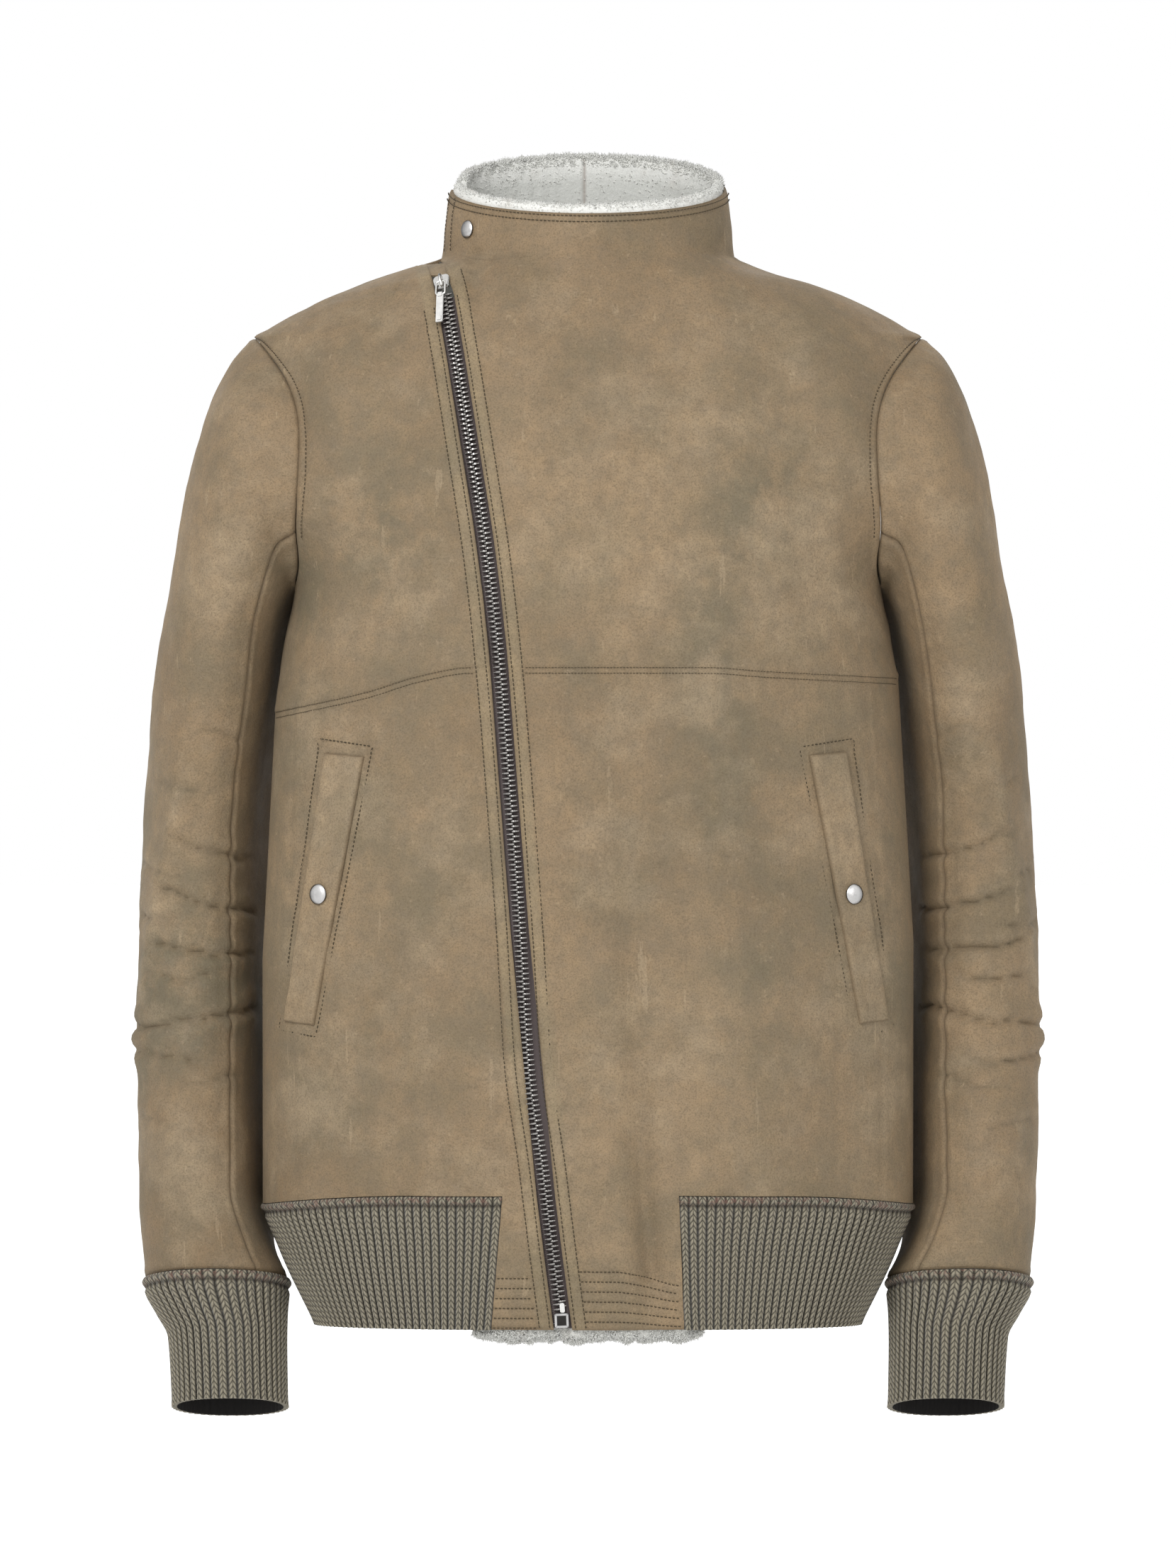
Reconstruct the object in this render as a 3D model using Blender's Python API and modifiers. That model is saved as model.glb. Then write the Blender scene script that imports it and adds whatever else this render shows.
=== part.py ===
"""A sheepskin flying jacket, hollow as when it is worn.

Leather panels with the wool inside, a stand collar whose flap laps over to the wearer's right, a slanting
zip, two welt pockets, and rib-knit cuffs and hem. Metres, +Z up, the front towards -Y and the wearer's left
towards +X.
The origin is in the middle of the neck's base, where the jacket sits on the shoulders.
"""

import math

import bmesh
import bpy
from mathutils import Matrix, Vector

GAP = 0.0003
LEATHER = 0.0024
SEAM_SLOPE = 0.0012
SIDE = math.pi / 2
STEP = 0.0004
SAMPLES = 48

HEM = -0.690
RIB_TOP = -0.604
RIB_DROP = 0.008
RIB_SEAM = 0.0006
RIB_LIFT = 0.0004
LOWER_STEPS = 7
HEM_STEPS = 3
NECK = 0.001
ARMHOLE_TOP = -0.0515
ARMHOLE_BOTTOM = -0.2125
ARMHOLE_DEPTH = 0.070
ARMHOLE_STEPS = 10

# Oval sections of the body, from the top of the collar down to the hem: height, half width, reach to the
# front, reach to the back, y of the middle and squareness.
BODY_SECTIONS = (
    (0.0800, 0.0880, 0.0760, 0.0660, 0.000, 2.00),
    (0.0450, 0.0904, 0.0770, 0.0680, 0.000, 2.00),
    (0.0170, 0.0935, 0.0780, 0.0700, 0.000, 2.00),
    (0.0010, 0.0950, 0.0800, 0.0740, 0.000, 2.00),
    (-0.0035, 0.1050, 0.0812, 0.0770, 0.000, 2.00),
    (-0.0075, 0.1165, 0.0824, 0.0800, 0.000, 2.00),
    (-0.0160, 0.1440, 0.0850, 0.0860, 0.000, 2.00),
    (-0.0267, 0.1710, 0.0885, 0.0930, 0.000, 2.00),
    (-0.0375, 0.1940, 0.0920, 0.0990, 0.000, 2.00),
    (-0.0460, 0.2077, 0.0950, 0.1030, 0.000, 2.00),
    (-0.0515, 0.2160, 0.0970, 0.1060, 0.000, 2.00),
    (-0.0700, 0.2215, 0.1030, 0.1140, 0.000, 2.05),
    (-0.1000, 0.2235, 0.1110, 0.1220, -0.002, 2.10),
    (-0.1300, 0.2215, 0.1170, 0.1270, -0.004, 2.15),
    (-0.1700, 0.2105, 0.1200, 0.1310, -0.007, 2.20),
    (-0.2125, 0.1900, 0.1210, 0.1320, -0.010, 2.30),
    (-0.2430, 0.1950, 0.1195, 0.1320, -0.012, 2.30),
    (-0.2920, 0.2022, 0.1170, 0.1310, -0.015, 2.35),
    (-0.3520, 0.2062, 0.1140, 0.1300, -0.018, 2.35),
    (-0.4200, 0.2105, 0.1120, 0.1300, -0.020, 2.35),
    (-0.5000, 0.2112, 0.1120, 0.1310, -0.020, 2.35),
    (-0.5800, 0.2125, 0.1130, 0.1330, -0.020, 2.35),
    (-0.6060, 0.2115, 0.1120, 0.1310, -0.020, 2.35),
    (-0.6400, 0.1990, 0.1090, 0.1200, -0.020, 2.30),
    (-0.6900, 0.1755, 0.1050, 0.1040, -0.020, 2.30),
)

# Soft folds of the body: side, x and z of the start and of the end, half width, and how far it stands out.
BODY_FOLDS = (
    ("front", -0.160, -0.075, -0.178, -0.150, 0.024, 0.0045),
    ("front", 0.158, -0.075, 0.176, -0.155, 0.024, 0.0045),
    ("front", -0.135, -0.110, -0.155, -0.190, 0.026, -0.0030),
    ("front", 0.132, -0.110, 0.152, -0.190, 0.026, -0.0030),
    ("front", 0.034, -0.590, 0.043, -0.662, 0.020, -0.0060),
    ("front", 0.012, -0.560, 0.020, -0.680, 0.022, 0.0040),
    ("front", -0.100, -0.430, -0.085, -0.590, 0.030, 0.0045),
    ("front", 0.110, -0.420, 0.098, -0.590, 0.030, 0.0045),
    ("front", 0.140, -0.500, 0.150, -0.590, 0.024, -0.0040),
    ("front", -0.135, -0.520, -0.130, -0.595, 0.024, -0.0035),
    ("back", -0.150, -0.100, -0.165, -0.200, 0.026, 0.0045),
    ("back", 0.150, -0.100, 0.165, -0.200, 0.026, 0.0045),
    ("back", -0.095, -0.350, -0.120, -0.590, 0.032, 0.0050),
    ("back", 0.095, -0.370, 0.115, -0.590, 0.032, 0.0050),
    ("back", 0.010, -0.430, -0.004, -0.600, 0.034, 0.0045),
    ("back", 0.055, -0.480, 0.058, -0.600, 0.026, -0.0040),
    ("back", -0.058, -0.470, -0.060, -0.600, 0.026, -0.0040),
)

# The middle of the zip, from the slider down to the hem: height and x.
ZIP_LINE = (
    (0.0010, -0.1000),
    (-0.0193, -0.0936),
    (-0.0470, -0.0885),
    (-0.1160, -0.0770),
    (-0.1900, -0.0655),
    (-0.2620, -0.0572),
    (-0.3340, -0.0511),
    (-0.4400, -0.0433),
    (-0.5220, -0.0382),
    (-0.5865, -0.0292),
    (-0.6417, -0.0223),
    (-0.6900, -0.0160),
)
ZIP_GAP = 0.0118
TAPE_TOP = -0.0267
TAPE_BOTTOM = -0.689
CHAIN_TOP = -0.0110
TAPE_WIDTH = 0.0145
TAPE_THICK = 0.0011
TAPE_CLEAR = 0.0008
CHAIN_WIDTH = 0.0084
CHAIN_THICK = 0.0028
CHAIN_BOTTOM = -0.678
SLIDER_HEIGHT = -0.0193
SLIDER_SIZE = Vector((0.0106, 0.0120, 0.0022))
SLIDER_LIFT = 0.0006
SLIDER_BEVEL = 0.0006
BRIDGE_RADIUS = 0.0008
# Half of the slider's bridge: distance from its middle and height over the zip.
BRIDGE_ARCH = ((0.0045, 0.0022), (0.0040, 0.0050), (0.0022, 0.0062))
LINK_RADIUS = 0.00065
LINK_HALF = 0.0030
LINK_LENGTH = 0.0098
LINK_OVERLAP = 0.0004
HINGE_HEIGHT = 0.0045
HINGE_DOWN = 0.0020
TAB_SIZE = Vector((0.0048, 0.0223, 0.0015))
TAB_BEVEL = 0.0004
PULL_TILT = math.radians(11)
PULL_HANG = math.radians(-11)
BOX_SIZE = Vector((0.0088, 0.0092, 0.0030))
BOX_CENTRE = (0.0, 0.0, -0.0005)
BOX_UP = 0.0062
BOX_BEVEL = 0.0005
ZIP_ENDS = (0.004, 0.002)

# The edge of the collar flap above the zip: height and x.
FLAP_EDGE = ((0.0010, -0.0950), (-0.0120, -0.0912), (-0.0244, -0.0867))

# The chest seam: x and height. It falls towards the wearer's right side.
CHEST_SEAM = (
    (-0.2020, -0.2970),
    (-0.1770, -0.2920),
    (-0.1400, -0.2838),
    (-0.1080, -0.2740),
    (-0.0750, -0.2685),
    (0.0760, -0.2685),
    (0.1150, -0.2710),
    (0.2000, -0.2750),
)
SEAM_RIGHT = -0.2970
SEAM_LEFT = -0.2750

# The upright edges of the ribbed band beside the zip: x at the band's top and at the hem.
BAND_EDGE_RIGHT = (-0.0545, -0.0620)
BAND_EDGE_LEFT = (0.0582, 0.0618)

COLLAR_RIM = 0.0450
COLLAR_TILT = 0.0190
LAP_DROP = 0.0100
WOOL = 0.0060
WOOL_RISE = 0.0060
WOOL_FOOT = 0.0040
FLAP_WOOL_START = 0.0060
COLLAR_COLUMNS = 14
BACK_COLLAR_COLUMNS = 12
LAP_STEPS = 4
# Turns over which the underlap eases in behind the flap, and over which the flap's wool thickens past it.
LAP_EASE = (0.50, 0.08)
WOOL_EASE = (0.05, 0.45)

SHOULDER_ROWS = (-0.0460, -0.0375, -0.0267, -0.0160, -0.0075, -0.0035)

# Rings of the left sleeve below the armhole: x and z of its outer and of its inner line, half depth, y of its
# middle, how much its front is raised, and how far the cross folds of the elbow lie in (or stand out, if
# negative).
SLEEVE_RINGS = (
    (0.2315, -0.0660, 0.1915, -0.2155, 0.0745, -0.001, 0.00, 0.0),
    (0.2440, -0.0890, 0.1930, -0.2190, 0.0775, 0.001, 0.00, 0.0),
    (0.2535, -0.1210, 0.1950, -0.2240, 0.0795, 0.003, 0.00, 0.0),
    (0.2624, -0.1600, 0.1975, -0.2310, 0.0795, 0.006, 0.00, 0.0),
    (0.2716, -0.2090, 0.2010, -0.2440, 0.0780, 0.010, 0.01, 0.0),
    (0.2785, -0.2530, 0.2045, -0.2660, 0.0755, 0.015, 0.02, 0.0),
    (0.2835, -0.2950, 0.2080, -0.2950, 0.0730, 0.019, 0.03, 0.001),
    (0.2868, -0.3300, 0.2120, -0.3300, 0.0710, 0.022, 0.04, -0.001),
    (0.2890, -0.3620, 0.2145, -0.3620, 0.0695, 0.024, 0.05, -0.001),
    (0.2900, -0.3830, 0.2152, -0.3830, 0.0690, 0.025, 0.06, 0.002),
    (0.2910, -0.4000, 0.2155, -0.4000, 0.0685, 0.025, 0.07, -0.001),
    (0.2915, -0.4170, 0.2158, -0.4170, 0.0680, 0.025, 0.08, 0.0025),
    (0.2920, -0.4320, 0.2158, -0.4320, 0.0675, 0.024, 0.09, -0.001),
    (0.2922, -0.4480, 0.2158, -0.4480, 0.0670, 0.023, 0.10, 0.0025),
    (0.2925, -0.4690, 0.2158, -0.4690, 0.0660, 0.021, 0.11, -0.001),
    (0.2928, -0.4920, 0.2158, -0.4920, 0.0650, 0.018, 0.12, 0.0025),
    (0.2930, -0.5130, 0.2157, -0.5130, 0.0640, 0.015, 0.13, -0.001),
    (0.2928, -0.5340, 0.2156, -0.5340, 0.0630, 0.012, 0.14, 0.002),
    (0.2922, -0.5620, 0.2155, -0.5620, 0.0620, 0.008, 0.15, 0.0),
    (0.2910, -0.5900, 0.2158, -0.5900, 0.0615, 0.004, 0.16, 0.0),
    (0.2900, -0.6170, 0.2152, -0.6170, 0.0605, -0.001, 0.16, 0.0),
    (0.2885, -0.6400, 0.2065, -0.6400, 0.0595, -0.005, 0.16, 0.0),
    (0.2868, -0.6620, 0.1950, -0.6620, 0.0575, -0.008, 0.16, 0.0),
)
SLEEVE_SQUARENESS = 2.15
NORMAL_SMOOTHINGS = 2
# The crease that runs down the front of the forearm: height and turn from the outer line.
CREASE_LINE = ((-0.340, 70), (-0.420, 50), (-0.515, 22))
CREASE_HEIGHT = 0.0025
CREASE_SPREAD = 14
FRONT_SEAM_STEP = 7
BACK_SEAM_STEP = 13

# Rings of the left cuff, from the linked edge down: outer and inner x, height, half depth, y of its middle,
# how much its front is raised, how far it stands proud, and how much of a rib's height it has.
CUFF_RINGS = (
    (0.2876, 0.1937, -0.6627, 0.0583, -0.008, 0.16, 0.0014, 0.0),
    (0.2868, 0.1942, -0.6690, 0.0570, -0.009, 0.16, 0.0008, 0.4),
    (0.2790, 0.1955, -0.6840, 0.0485, -0.012, 0.17, 0.0, 1.0),
    (0.2712, 0.1958, -0.6990, 0.0425, -0.015, 0.18, 0.0, 1.0),
    (0.2680, 0.1950, -0.7440, 0.0410, -0.024, 0.19, 0.0, 1.0),
)
CUFF_RIBS = 44
HEM_RIBS = 84
RIB_HEIGHT = 0.0013
RIB_WALL = 0.0016
CUFF_WALL = 0.0020
# Rows of the hem's band: part of the way down, how far it stands proud, and how much of a rib's height it
# has.
BAND_ROWS = ((0.0, 0.0016, 0.0), (0.07, 0.0005, 0.8), (1.0, 0.0, 1.0))

HEM_WOOL_HALF = 0.0750
HEM_WOOL_TOP = -0.668
HEM_WOOL_DROP = 0.0085
HEM_WOOL_COLUMNS = 6

WELT_THICK = 0.0020
WELT_LIFT = 0.00035
WELT_ROWS = 8
WELT_COLUMNS = 3
# The ends of each welt: x of both corners and their height.
RIGHT_WELT_TOP = (-0.1686, -0.1433, -0.3220)
RIGHT_WELT_BOTTOM = (-0.1948, -0.1755, -0.4945)
LEFT_WELT_TOP = (0.1654, 0.1414, -0.3220)
LEFT_WELT_BOTTOM = (0.1925, 0.1741, -0.4945)

SNAP_RADIUS = 0.0065
COLLAR_SNAP_RADIUS = 0.0058
SNAP_HEIGHT = 0.0028
SNAP_RIM = 0.0008
# Where the snaps sit: x and height.
SNAP_PLACES = {"right": (-0.1713, -0.4117), "left": (0.1690, -0.4117), "collar": (-0.0775, 0.0170)}


def clear_scene():
    for thing in list(bpy.data.objects):
        bpy.data.objects.remove(thing, do_unlink=True)


def new_collection(name, hidden=False):
    made = bpy.data.collections.new(name)
    bpy.context.scene.collection.children.link(made)
    made.hide_render = hidden
    return made


def new_material(name, colour, roughness, metallic=0.0):
    made = bpy.data.materials.new(name)
    made.use_nodes = True
    shader = made.node_tree.nodes["Principled BSDF"]
    shader.inputs["Base Color"].default_value = (*colour, 1.0)
    shader.inputs["Roughness"].default_value = roughness
    shader.inputs["Metallic"].default_value = metallic
    made.diffuse_color = (*colour, 1.0)
    return made


def between(value, table, column=1):
    """The table's column at a value of its first column, on a smooth curve that never overshoots its rows."""
    rows = sorted(table)
    if value <= rows[0][0]:
        return rows[0][column]
    if value >= rows[-1][0]:
        return rows[-1][column]
    k = 0
    while rows[k + 1][0] < value:
        k += 1

    def slope(i):
        return (rows[i + 1][column] - rows[i][column]) / (rows[i + 1][0] - rows[i][0])

    def tangent(i):
        if i == 0:
            return slope(0)
        if i == len(rows) - 1:
            return slope(i - 1)
        before, after = slope(i - 1), slope(i)
        return 0.0 if before * after <= 0 else 2 * before * after / (before + after)

    width = rows[k + 1][0] - rows[k][0]
    part = (value - rows[k][0]) / width
    rise = rows[k + 1][column] - rows[k][column]
    start, end = tangent(k) * width, tangent(k + 1) * width
    return (
        rows[k][column]
        + start * part
        + (3 * rise - 2 * start - end) * part**2
        + (start + end - 2 * rise) * part**3
    )


def mix(a, b, part):
    return a + (b - a) * part


def eased(value, low, high):
    part = min(1.0, max(0.0, (value - low) / (high - low)))
    return part * part * (3 - 2 * part)


def power(value, exponent):
    return math.copysign(abs(value) ** exponent, value)


def body_oval(turn, height):
    """A point of the smooth body: turn 0 is the middle of the front, a quarter turn the wearer's left."""
    half_width, front, back, middle_y, square = (
        between(height, BODY_SECTIONS, column) for column in range(1, len(BODY_SECTIONS[0]))
    )
    x = half_width * power(math.sin(turn), 2 / square)
    reach = power(math.cos(turn), 2 / square)
    return Vector((x, middle_y - (front if reach > 0 else back) * reach, height))


def body_normal(turn, height):
    across = body_oval(turn + STEP, height) - body_oval(turn - STEP, height)
    up = body_oval(turn, height + STEP) - body_oval(turn, height - STEP)
    return across.cross(up).normalized()


def body_fold(point):
    """How far the folds move the surface out at a point."""
    total = 0.0
    for side, start_x, start_z, end_x, end_z, half_width, height in BODY_FOLDS:
        if (side == "front") != (point.y < 0):
            continue
        line_x, line_z = end_x - start_x, end_z - start_z
        along = ((point.x - start_x) * line_x + (point.z - start_z) * line_z) / (line_x**2 + line_z**2)
        held = min(1.0, max(0.0, along))
        away = math.hypot(point.x - start_x - held * line_x, point.z - start_z - held * line_z)
        total += height * math.exp(-((away / half_width) ** 2))
    return total


def body_point(turn, height, inset=0.0):
    """A point of the body's folded surface, moved in by inset."""
    point = body_oval(turn, height)
    return point + body_normal(turn, height) * (body_fold(point) - inset)


def turn_at(x, height, back=False):
    """The turn at which the section at a height reaches x."""
    half_width = between(height, BODY_SECTIONS, 1)
    square = between(height, BODY_SECTIONS, 5)
    turn = math.asin(max(-1.0, min(1.0, power(x / half_width, square / 2))))
    return math.copysign(math.pi, turn) - turn if back else turn


def spread_turns(start, end, height, parts):
    """Turns that share out the section's length between two turns, at each of the parts from 0 to 1."""
    turns = [mix(start, end, k / SAMPLES) for k in range(SAMPLES + 1)]
    points = [body_oval(turn, height) for turn in turns]
    lengths = [0.0]
    for k in range(SAMPLES):
        lengths.append(lengths[-1] + (points[k + 1] - points[k]).length)
    found = []
    for part in parts:
        wanted = part * lengths[-1]
        k = 0
        while k < SAMPLES - 1 and lengths[k + 1] < wanted:
            k += 1
        step = lengths[k + 1] - lengths[k]
        found.append(mix(turns[k], turns[k + 1], (wanted - lengths[k]) / step if step else 0.0))
    return found


def collar_rim(turn):
    return COLLAR_RIM - COLLAR_TILT * math.cos(turn)


def flap_turns():
    """The turns of the collar flap's columns, from its edge round the front to the left side."""
    return spread_turns(-SIDE, SIDE, NECK, [k / COLLAR_COLUMNS for k in range(COLLAR_COLUMNS + 1)])


def back_collar_turns():
    """The turns of the back collar's columns, from the left side round the back to the right side."""
    parts = [k / BACK_COLLAR_COLUMNS for k in range(BACK_COLLAR_COLUMNS + 1)]
    return spread_turns(SIDE, 2 * math.pi - SIDE, NECK, parts)


def lapped_under(turn):
    """How far, from 0 to 1, the back collar has passed under the flap's edge."""
    flap_edge = 2 * math.pi - SIDE
    return eased(turn, flap_edge - LAP_EASE[0], flap_edge - LAP_EASE[1])


def chest_seam(x):
    return between(x, CHEST_SEAM)


def band_top(turn):
    """The height of the ribbed band's upper edge."""
    return RIB_TOP - RIB_DROP * math.sin(turn) ** 4


def armhole_heights():
    """Heights from the armhole's bottom to its top, close together at both ends."""
    middle = (ARMHOLE_TOP + ARMHOLE_BOTTOM) / 2
    half = (ARMHOLE_TOP - ARMHOLE_BOTTOM) / 2
    return [middle - half * math.cos(math.pi * k / ARMHOLE_STEPS) for k in range(ARMHOLE_STEPS + 1)]


def outer_turn(height, side, back=False):
    """The turn of a panel's outer end: the side seam, the armhole's edge or the shoulder seam."""
    if ARMHOLE_BOTTOM < height < ARMHOLE_TOP:
        middle = (ARMHOLE_TOP + ARMHOLE_BOTTOM) / 2
        half = (ARMHOLE_TOP - ARMHOLE_BOTTOM) / 2
        reach = ARMHOLE_DEPTH * math.sqrt(max(0.0, 1 - ((height - middle) / half) ** 2))
        depth = between(height, BODY_SECTIONS, 3 if back else 2)
        square = between(height, BODY_SECTIONS, 5)
        turn = math.acos(min(1.0, (reach / depth) ** (square / 2)))
    else:
        turn = SIDE
    return side * (math.pi - turn if back else turn)


def trim(grid, sides, by=GAP / 2):
    """Moves the named edges of a grid of points inwards, to leave the seam's gap."""
    rows, columns = len(grid), len(grid[0])

    def pull(row, column, near_row, near_column):
        point = grid[row][column]
        away = grid[near_row][near_column] - point
        if away.length > by:
            grid[row][column] = point + away.normalized() * by

    if "start" in sides:
        for row in range(rows):
            pull(row, 0, row, 1)
    if "end" in sides:
        for row in range(rows):
            pull(row, columns - 1, row, columns - 2)
    if "bottom" in sides:
        for column in range(columns):
            pull(0, column, 1, column)
    if "top" in sides:
        for column in range(columns):
            pull(rows - 1, column, rows - 2, column)
    return grid


def new_object(name, mesh, finish, collection):
    made = bpy.data.objects.new(name, mesh)
    mesh.materials.append(finish)
    collection.objects.link(made)
    return made


def mesh_of(name, points, faces, smooth=True):
    mesh = bpy.data.meshes.new(name)
    made = bmesh.new()
    corners = [made.verts.new(point) for point in points]
    for face in faces:
        made.faces.new([corners[k] for k in face])
    loose = [corner for corner in made.verts if not corner.link_faces]
    bmesh.ops.delete(made, geom=loose, context="VERTS")
    bmesh.ops.recalc_face_normals(made, faces=made.faces)
    made.to_mesh(mesh)
    made.free()
    if smooth:
        mesh.shade_smooth()
        mesh.set_sharp_from_angle(angle=math.radians(50))
    return mesh


def wall(name, outer, inner, finish, collection, keep=None):
    """A closed wall between two grids of points of one size. keep says which cells of the grid are there."""
    rows, columns = len(outer), len(outer[0])
    inside = rows * columns
    cells = [
        (row, column)
        for row in range(rows - 1)
        for column in range(columns - 1)
        if keep is None or keep(row, column)
    ]
    faces = []
    edges = {}
    points = [point for grid in (outer, inner) for row in grid for point in row]
    for row, column in cells:
        corner = row * columns + column
        ring = (corner, corner + 1, corner + columns + 1, corner + columns)
        # Both faces of the wall fold along the same, shorter diagonal.
        first = (points[ring[0]] - points[ring[2]]).length > (points[ring[1]] - points[ring[3]]).length
        halves = ((0, 1, 3), (1, 2, 3)) if first else ((0, 1, 2), (0, 2, 3))
        for half in halves:
            faces.append(tuple(ring[k] for k in half))
            faces.append(tuple(inside + ring[k] for k in reversed(half)))
        for k in range(4):
            edge = (ring[k], ring[(k + 1) % 4])
            if edge[::-1] in edges:
                del edges[edge[::-1]]
            else:
                edges[edge] = True
    faces += [(b, a, inside + a, inside + b) for a, b in edges]
    return new_object(name, mesh_of(name, points, faces), finish, collection)


def ribbed_wall(name, outer, inner, closed, finish, collection):
    """A wall whose outer rows have a crest between every two valleys, and whose inner rows only the valleys."""
    wide, narrow = len(outer[0]), len(inner[0])
    ribs = narrow if closed else narrow - 1
    start = len(outer) * wide
    points = [point for grid in (outer, inner) for row in grid for point in row]

    def out(row, column):
        return row * wide + column % wide

    def within(row, column):
        return start + row * narrow + column % narrow

    faces = []
    for row in range(len(outer) - 1):
        for k in range(2 * ribs):
            faces.append((out(row, k), out(row, k + 1), out(row + 1, k + 1), out(row + 1, k)))
    for row in range(len(inner) - 1):
        for k in range(ribs):
            faces.append((within(row, k), within(row + 1, k), within(row + 1, k + 1), within(row, k + 1)))
    for row, inner_row, flip in ((0, 0, False), (len(outer) - 1, len(inner) - 1, True)):
        for k in range(ribs):
            ring_a = (out(row, 2 * k), within(inner_row, k), out(row, 2 * k + 1))
            valleys = (within(inner_row, k), within(inner_row, k + 1))
            ring_b = (out(row, 2 * k + 1), *valleys, out(row, 2 * k + 2))
            faces += [ring[::-1] if flip else ring for ring in (ring_a, ring_b)]
    if not closed:
        for column, inner_column in ((0, 0), (wide - 1, narrow - 1)):
            down = [out(row, column) for row in range(len(outer))]
            up = [within(row, inner_column) for row in reversed(range(len(inner)))]
            faces.append(tuple(down + up))
    return new_object(name, mesh_of(name, points, faces, smooth=False), finish, collection)


def body_grid(rows, inset):
    """Points for rows of (turn, height), moved in by inset."""
    return [[body_point(turn, height, inset) for turn, height in row] for row in rows]


def body_panel(name, rows, sides, finish, collection, keep=None, slope_sides=()):
    """A leather panel over rows of (turn, height). Its inner face stops short where it meets a sleeve."""
    outer = trim(body_grid(rows, 0.0), sides)
    inner = trim(body_grid(rows, LEATHER), sides)
    trim(inner, slope_sides, SEAM_SLOPE)
    return wall(name, outer, inner, finish, collection, keep)


def zip_edge(side):
    """The x of a leather edge beside the zip, at a height. Above the slider it is the collar flap's edge."""

    def edge(height):
        x = between(height, ZIP_LINE) + side * ZIP_GAP / 2
        if side > 0 and height > FLAP_EDGE[-1][0]:
            return between(height, FLAP_EDGE)
        return x

    return edge


def seam_row(side, start_x, parts):
    """The row along the chest seam: its turns are found at the height where the seam starts."""
    level = chest_seam(start_x(SEAM_LEFT))
    turns = spread_turns(turn_at(start_x(level), level), side * SIDE, level, parts)
    row = []
    for turn in turns:
        x = body_oval(turn, level).x
        side_height = SEAM_LEFT if side > 0 else SEAM_RIGHT
        row.append((turn, chest_seam(x) if abs(turn) < SIDE - 0.001 else side_height))
    return row


def level_row(height, side, start_x, parts):
    """One level row of a front panel, from the zip's edge out."""
    start = turn_at(start_x(height), height)
    return [(turn, height) for turn in spread_turns(start, outer_turn(height, side), height, parts)]


def middle_row(first, second, part):
    return [(mix(a[0], b[0], part), mix(a[1], b[1], part)) for a, b in zip(first, second)]


def upper_front(name, side, columns, sides, finish, collection):
    """The front above the chest seam. The left one goes on up into the collar flap."""
    start_x = zip_edge(side)
    parts = [k / columns for k in range(columns + 1)]
    seam = seam_row(side, start_x, parts)
    holes = armhole_heights()
    rows = [seam, middle_row(seam, level_row(holes[0], side, start_x, parts), 0.5)]
    rows += [level_row(height, side, start_x, parts) for height in holes]
    rows += [level_row(height, side, start_x, parts) for height in SHOULDER_ROWS]
    if side > 0:
        for part in (0.0, 0.5, 1.0):
            rows.append([(turn, mix(NECK, collar_rim(turn), part)) for turn in flap_turns()])
    return body_panel(name, rows, sides, finish, collection, slope_sides=("end",))


def band_edge(side, height):
    top_x, hem_x = BAND_EDGE_LEFT if side > 0 else BAND_EDGE_RIGHT
    return mix(top_x, hem_x, (RIB_TOP - height) / (RIB_TOP - HEM))


def lower_front(name, side, columns, tongue, finish, collection):
    """The front below the chest seam, whose tongue beside the zip goes on down to the hem."""
    start_x = zip_edge(side)
    seam = seam_row(side, start_x, [k / columns for k in range(columns + 1)])

    def split_row(height_of, level):
        """A row with its column number tongue on the ribbed band's edge."""
        edge = turn_at(band_edge(side, level), level)
        parts = [k / tongue for k in range(tongue + 1)]
        near = spread_turns(turn_at(start_x(level), level), edge, level, parts)
        rest = columns - tongue
        far = spread_turns(edge, side * SIDE, level, [k / rest for k in range(rest + 1)])
        return [(turn, height_of(turn)) for turn in near + far[1:]]

    top_of_band = split_row(band_top, RIB_TOP)
    rows = []
    for k in range(HEM_STEPS):
        level = mix(HEM, RIB_TOP, k / HEM_STEPS)
        rows.append(split_row(lambda turn, level=level: level, level))
    rows += [middle_row(top_of_band, seam, k / LOWER_STEPS) for k in range(LOWER_STEPS + 1)]
    # The rows in between are mixed from their ends, so their first points go back on the zip's edge.
    for row in rows[HEM_STEPS + 1 : -1]:
        row[0] = (turn_at(start_x(row[0][1]), row[0][1]), row[0][1])
    outer = trim(body_grid(rows, 0.0), ("start", "end", "top"))
    inner = trim(body_grid(rows, LEATHER), ("start", "end", "top"))
    keep = lambda row, column: row >= HEM_STEPS or column < tongue
    return wall(name, outer, inner, finish, collection, keep)


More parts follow.
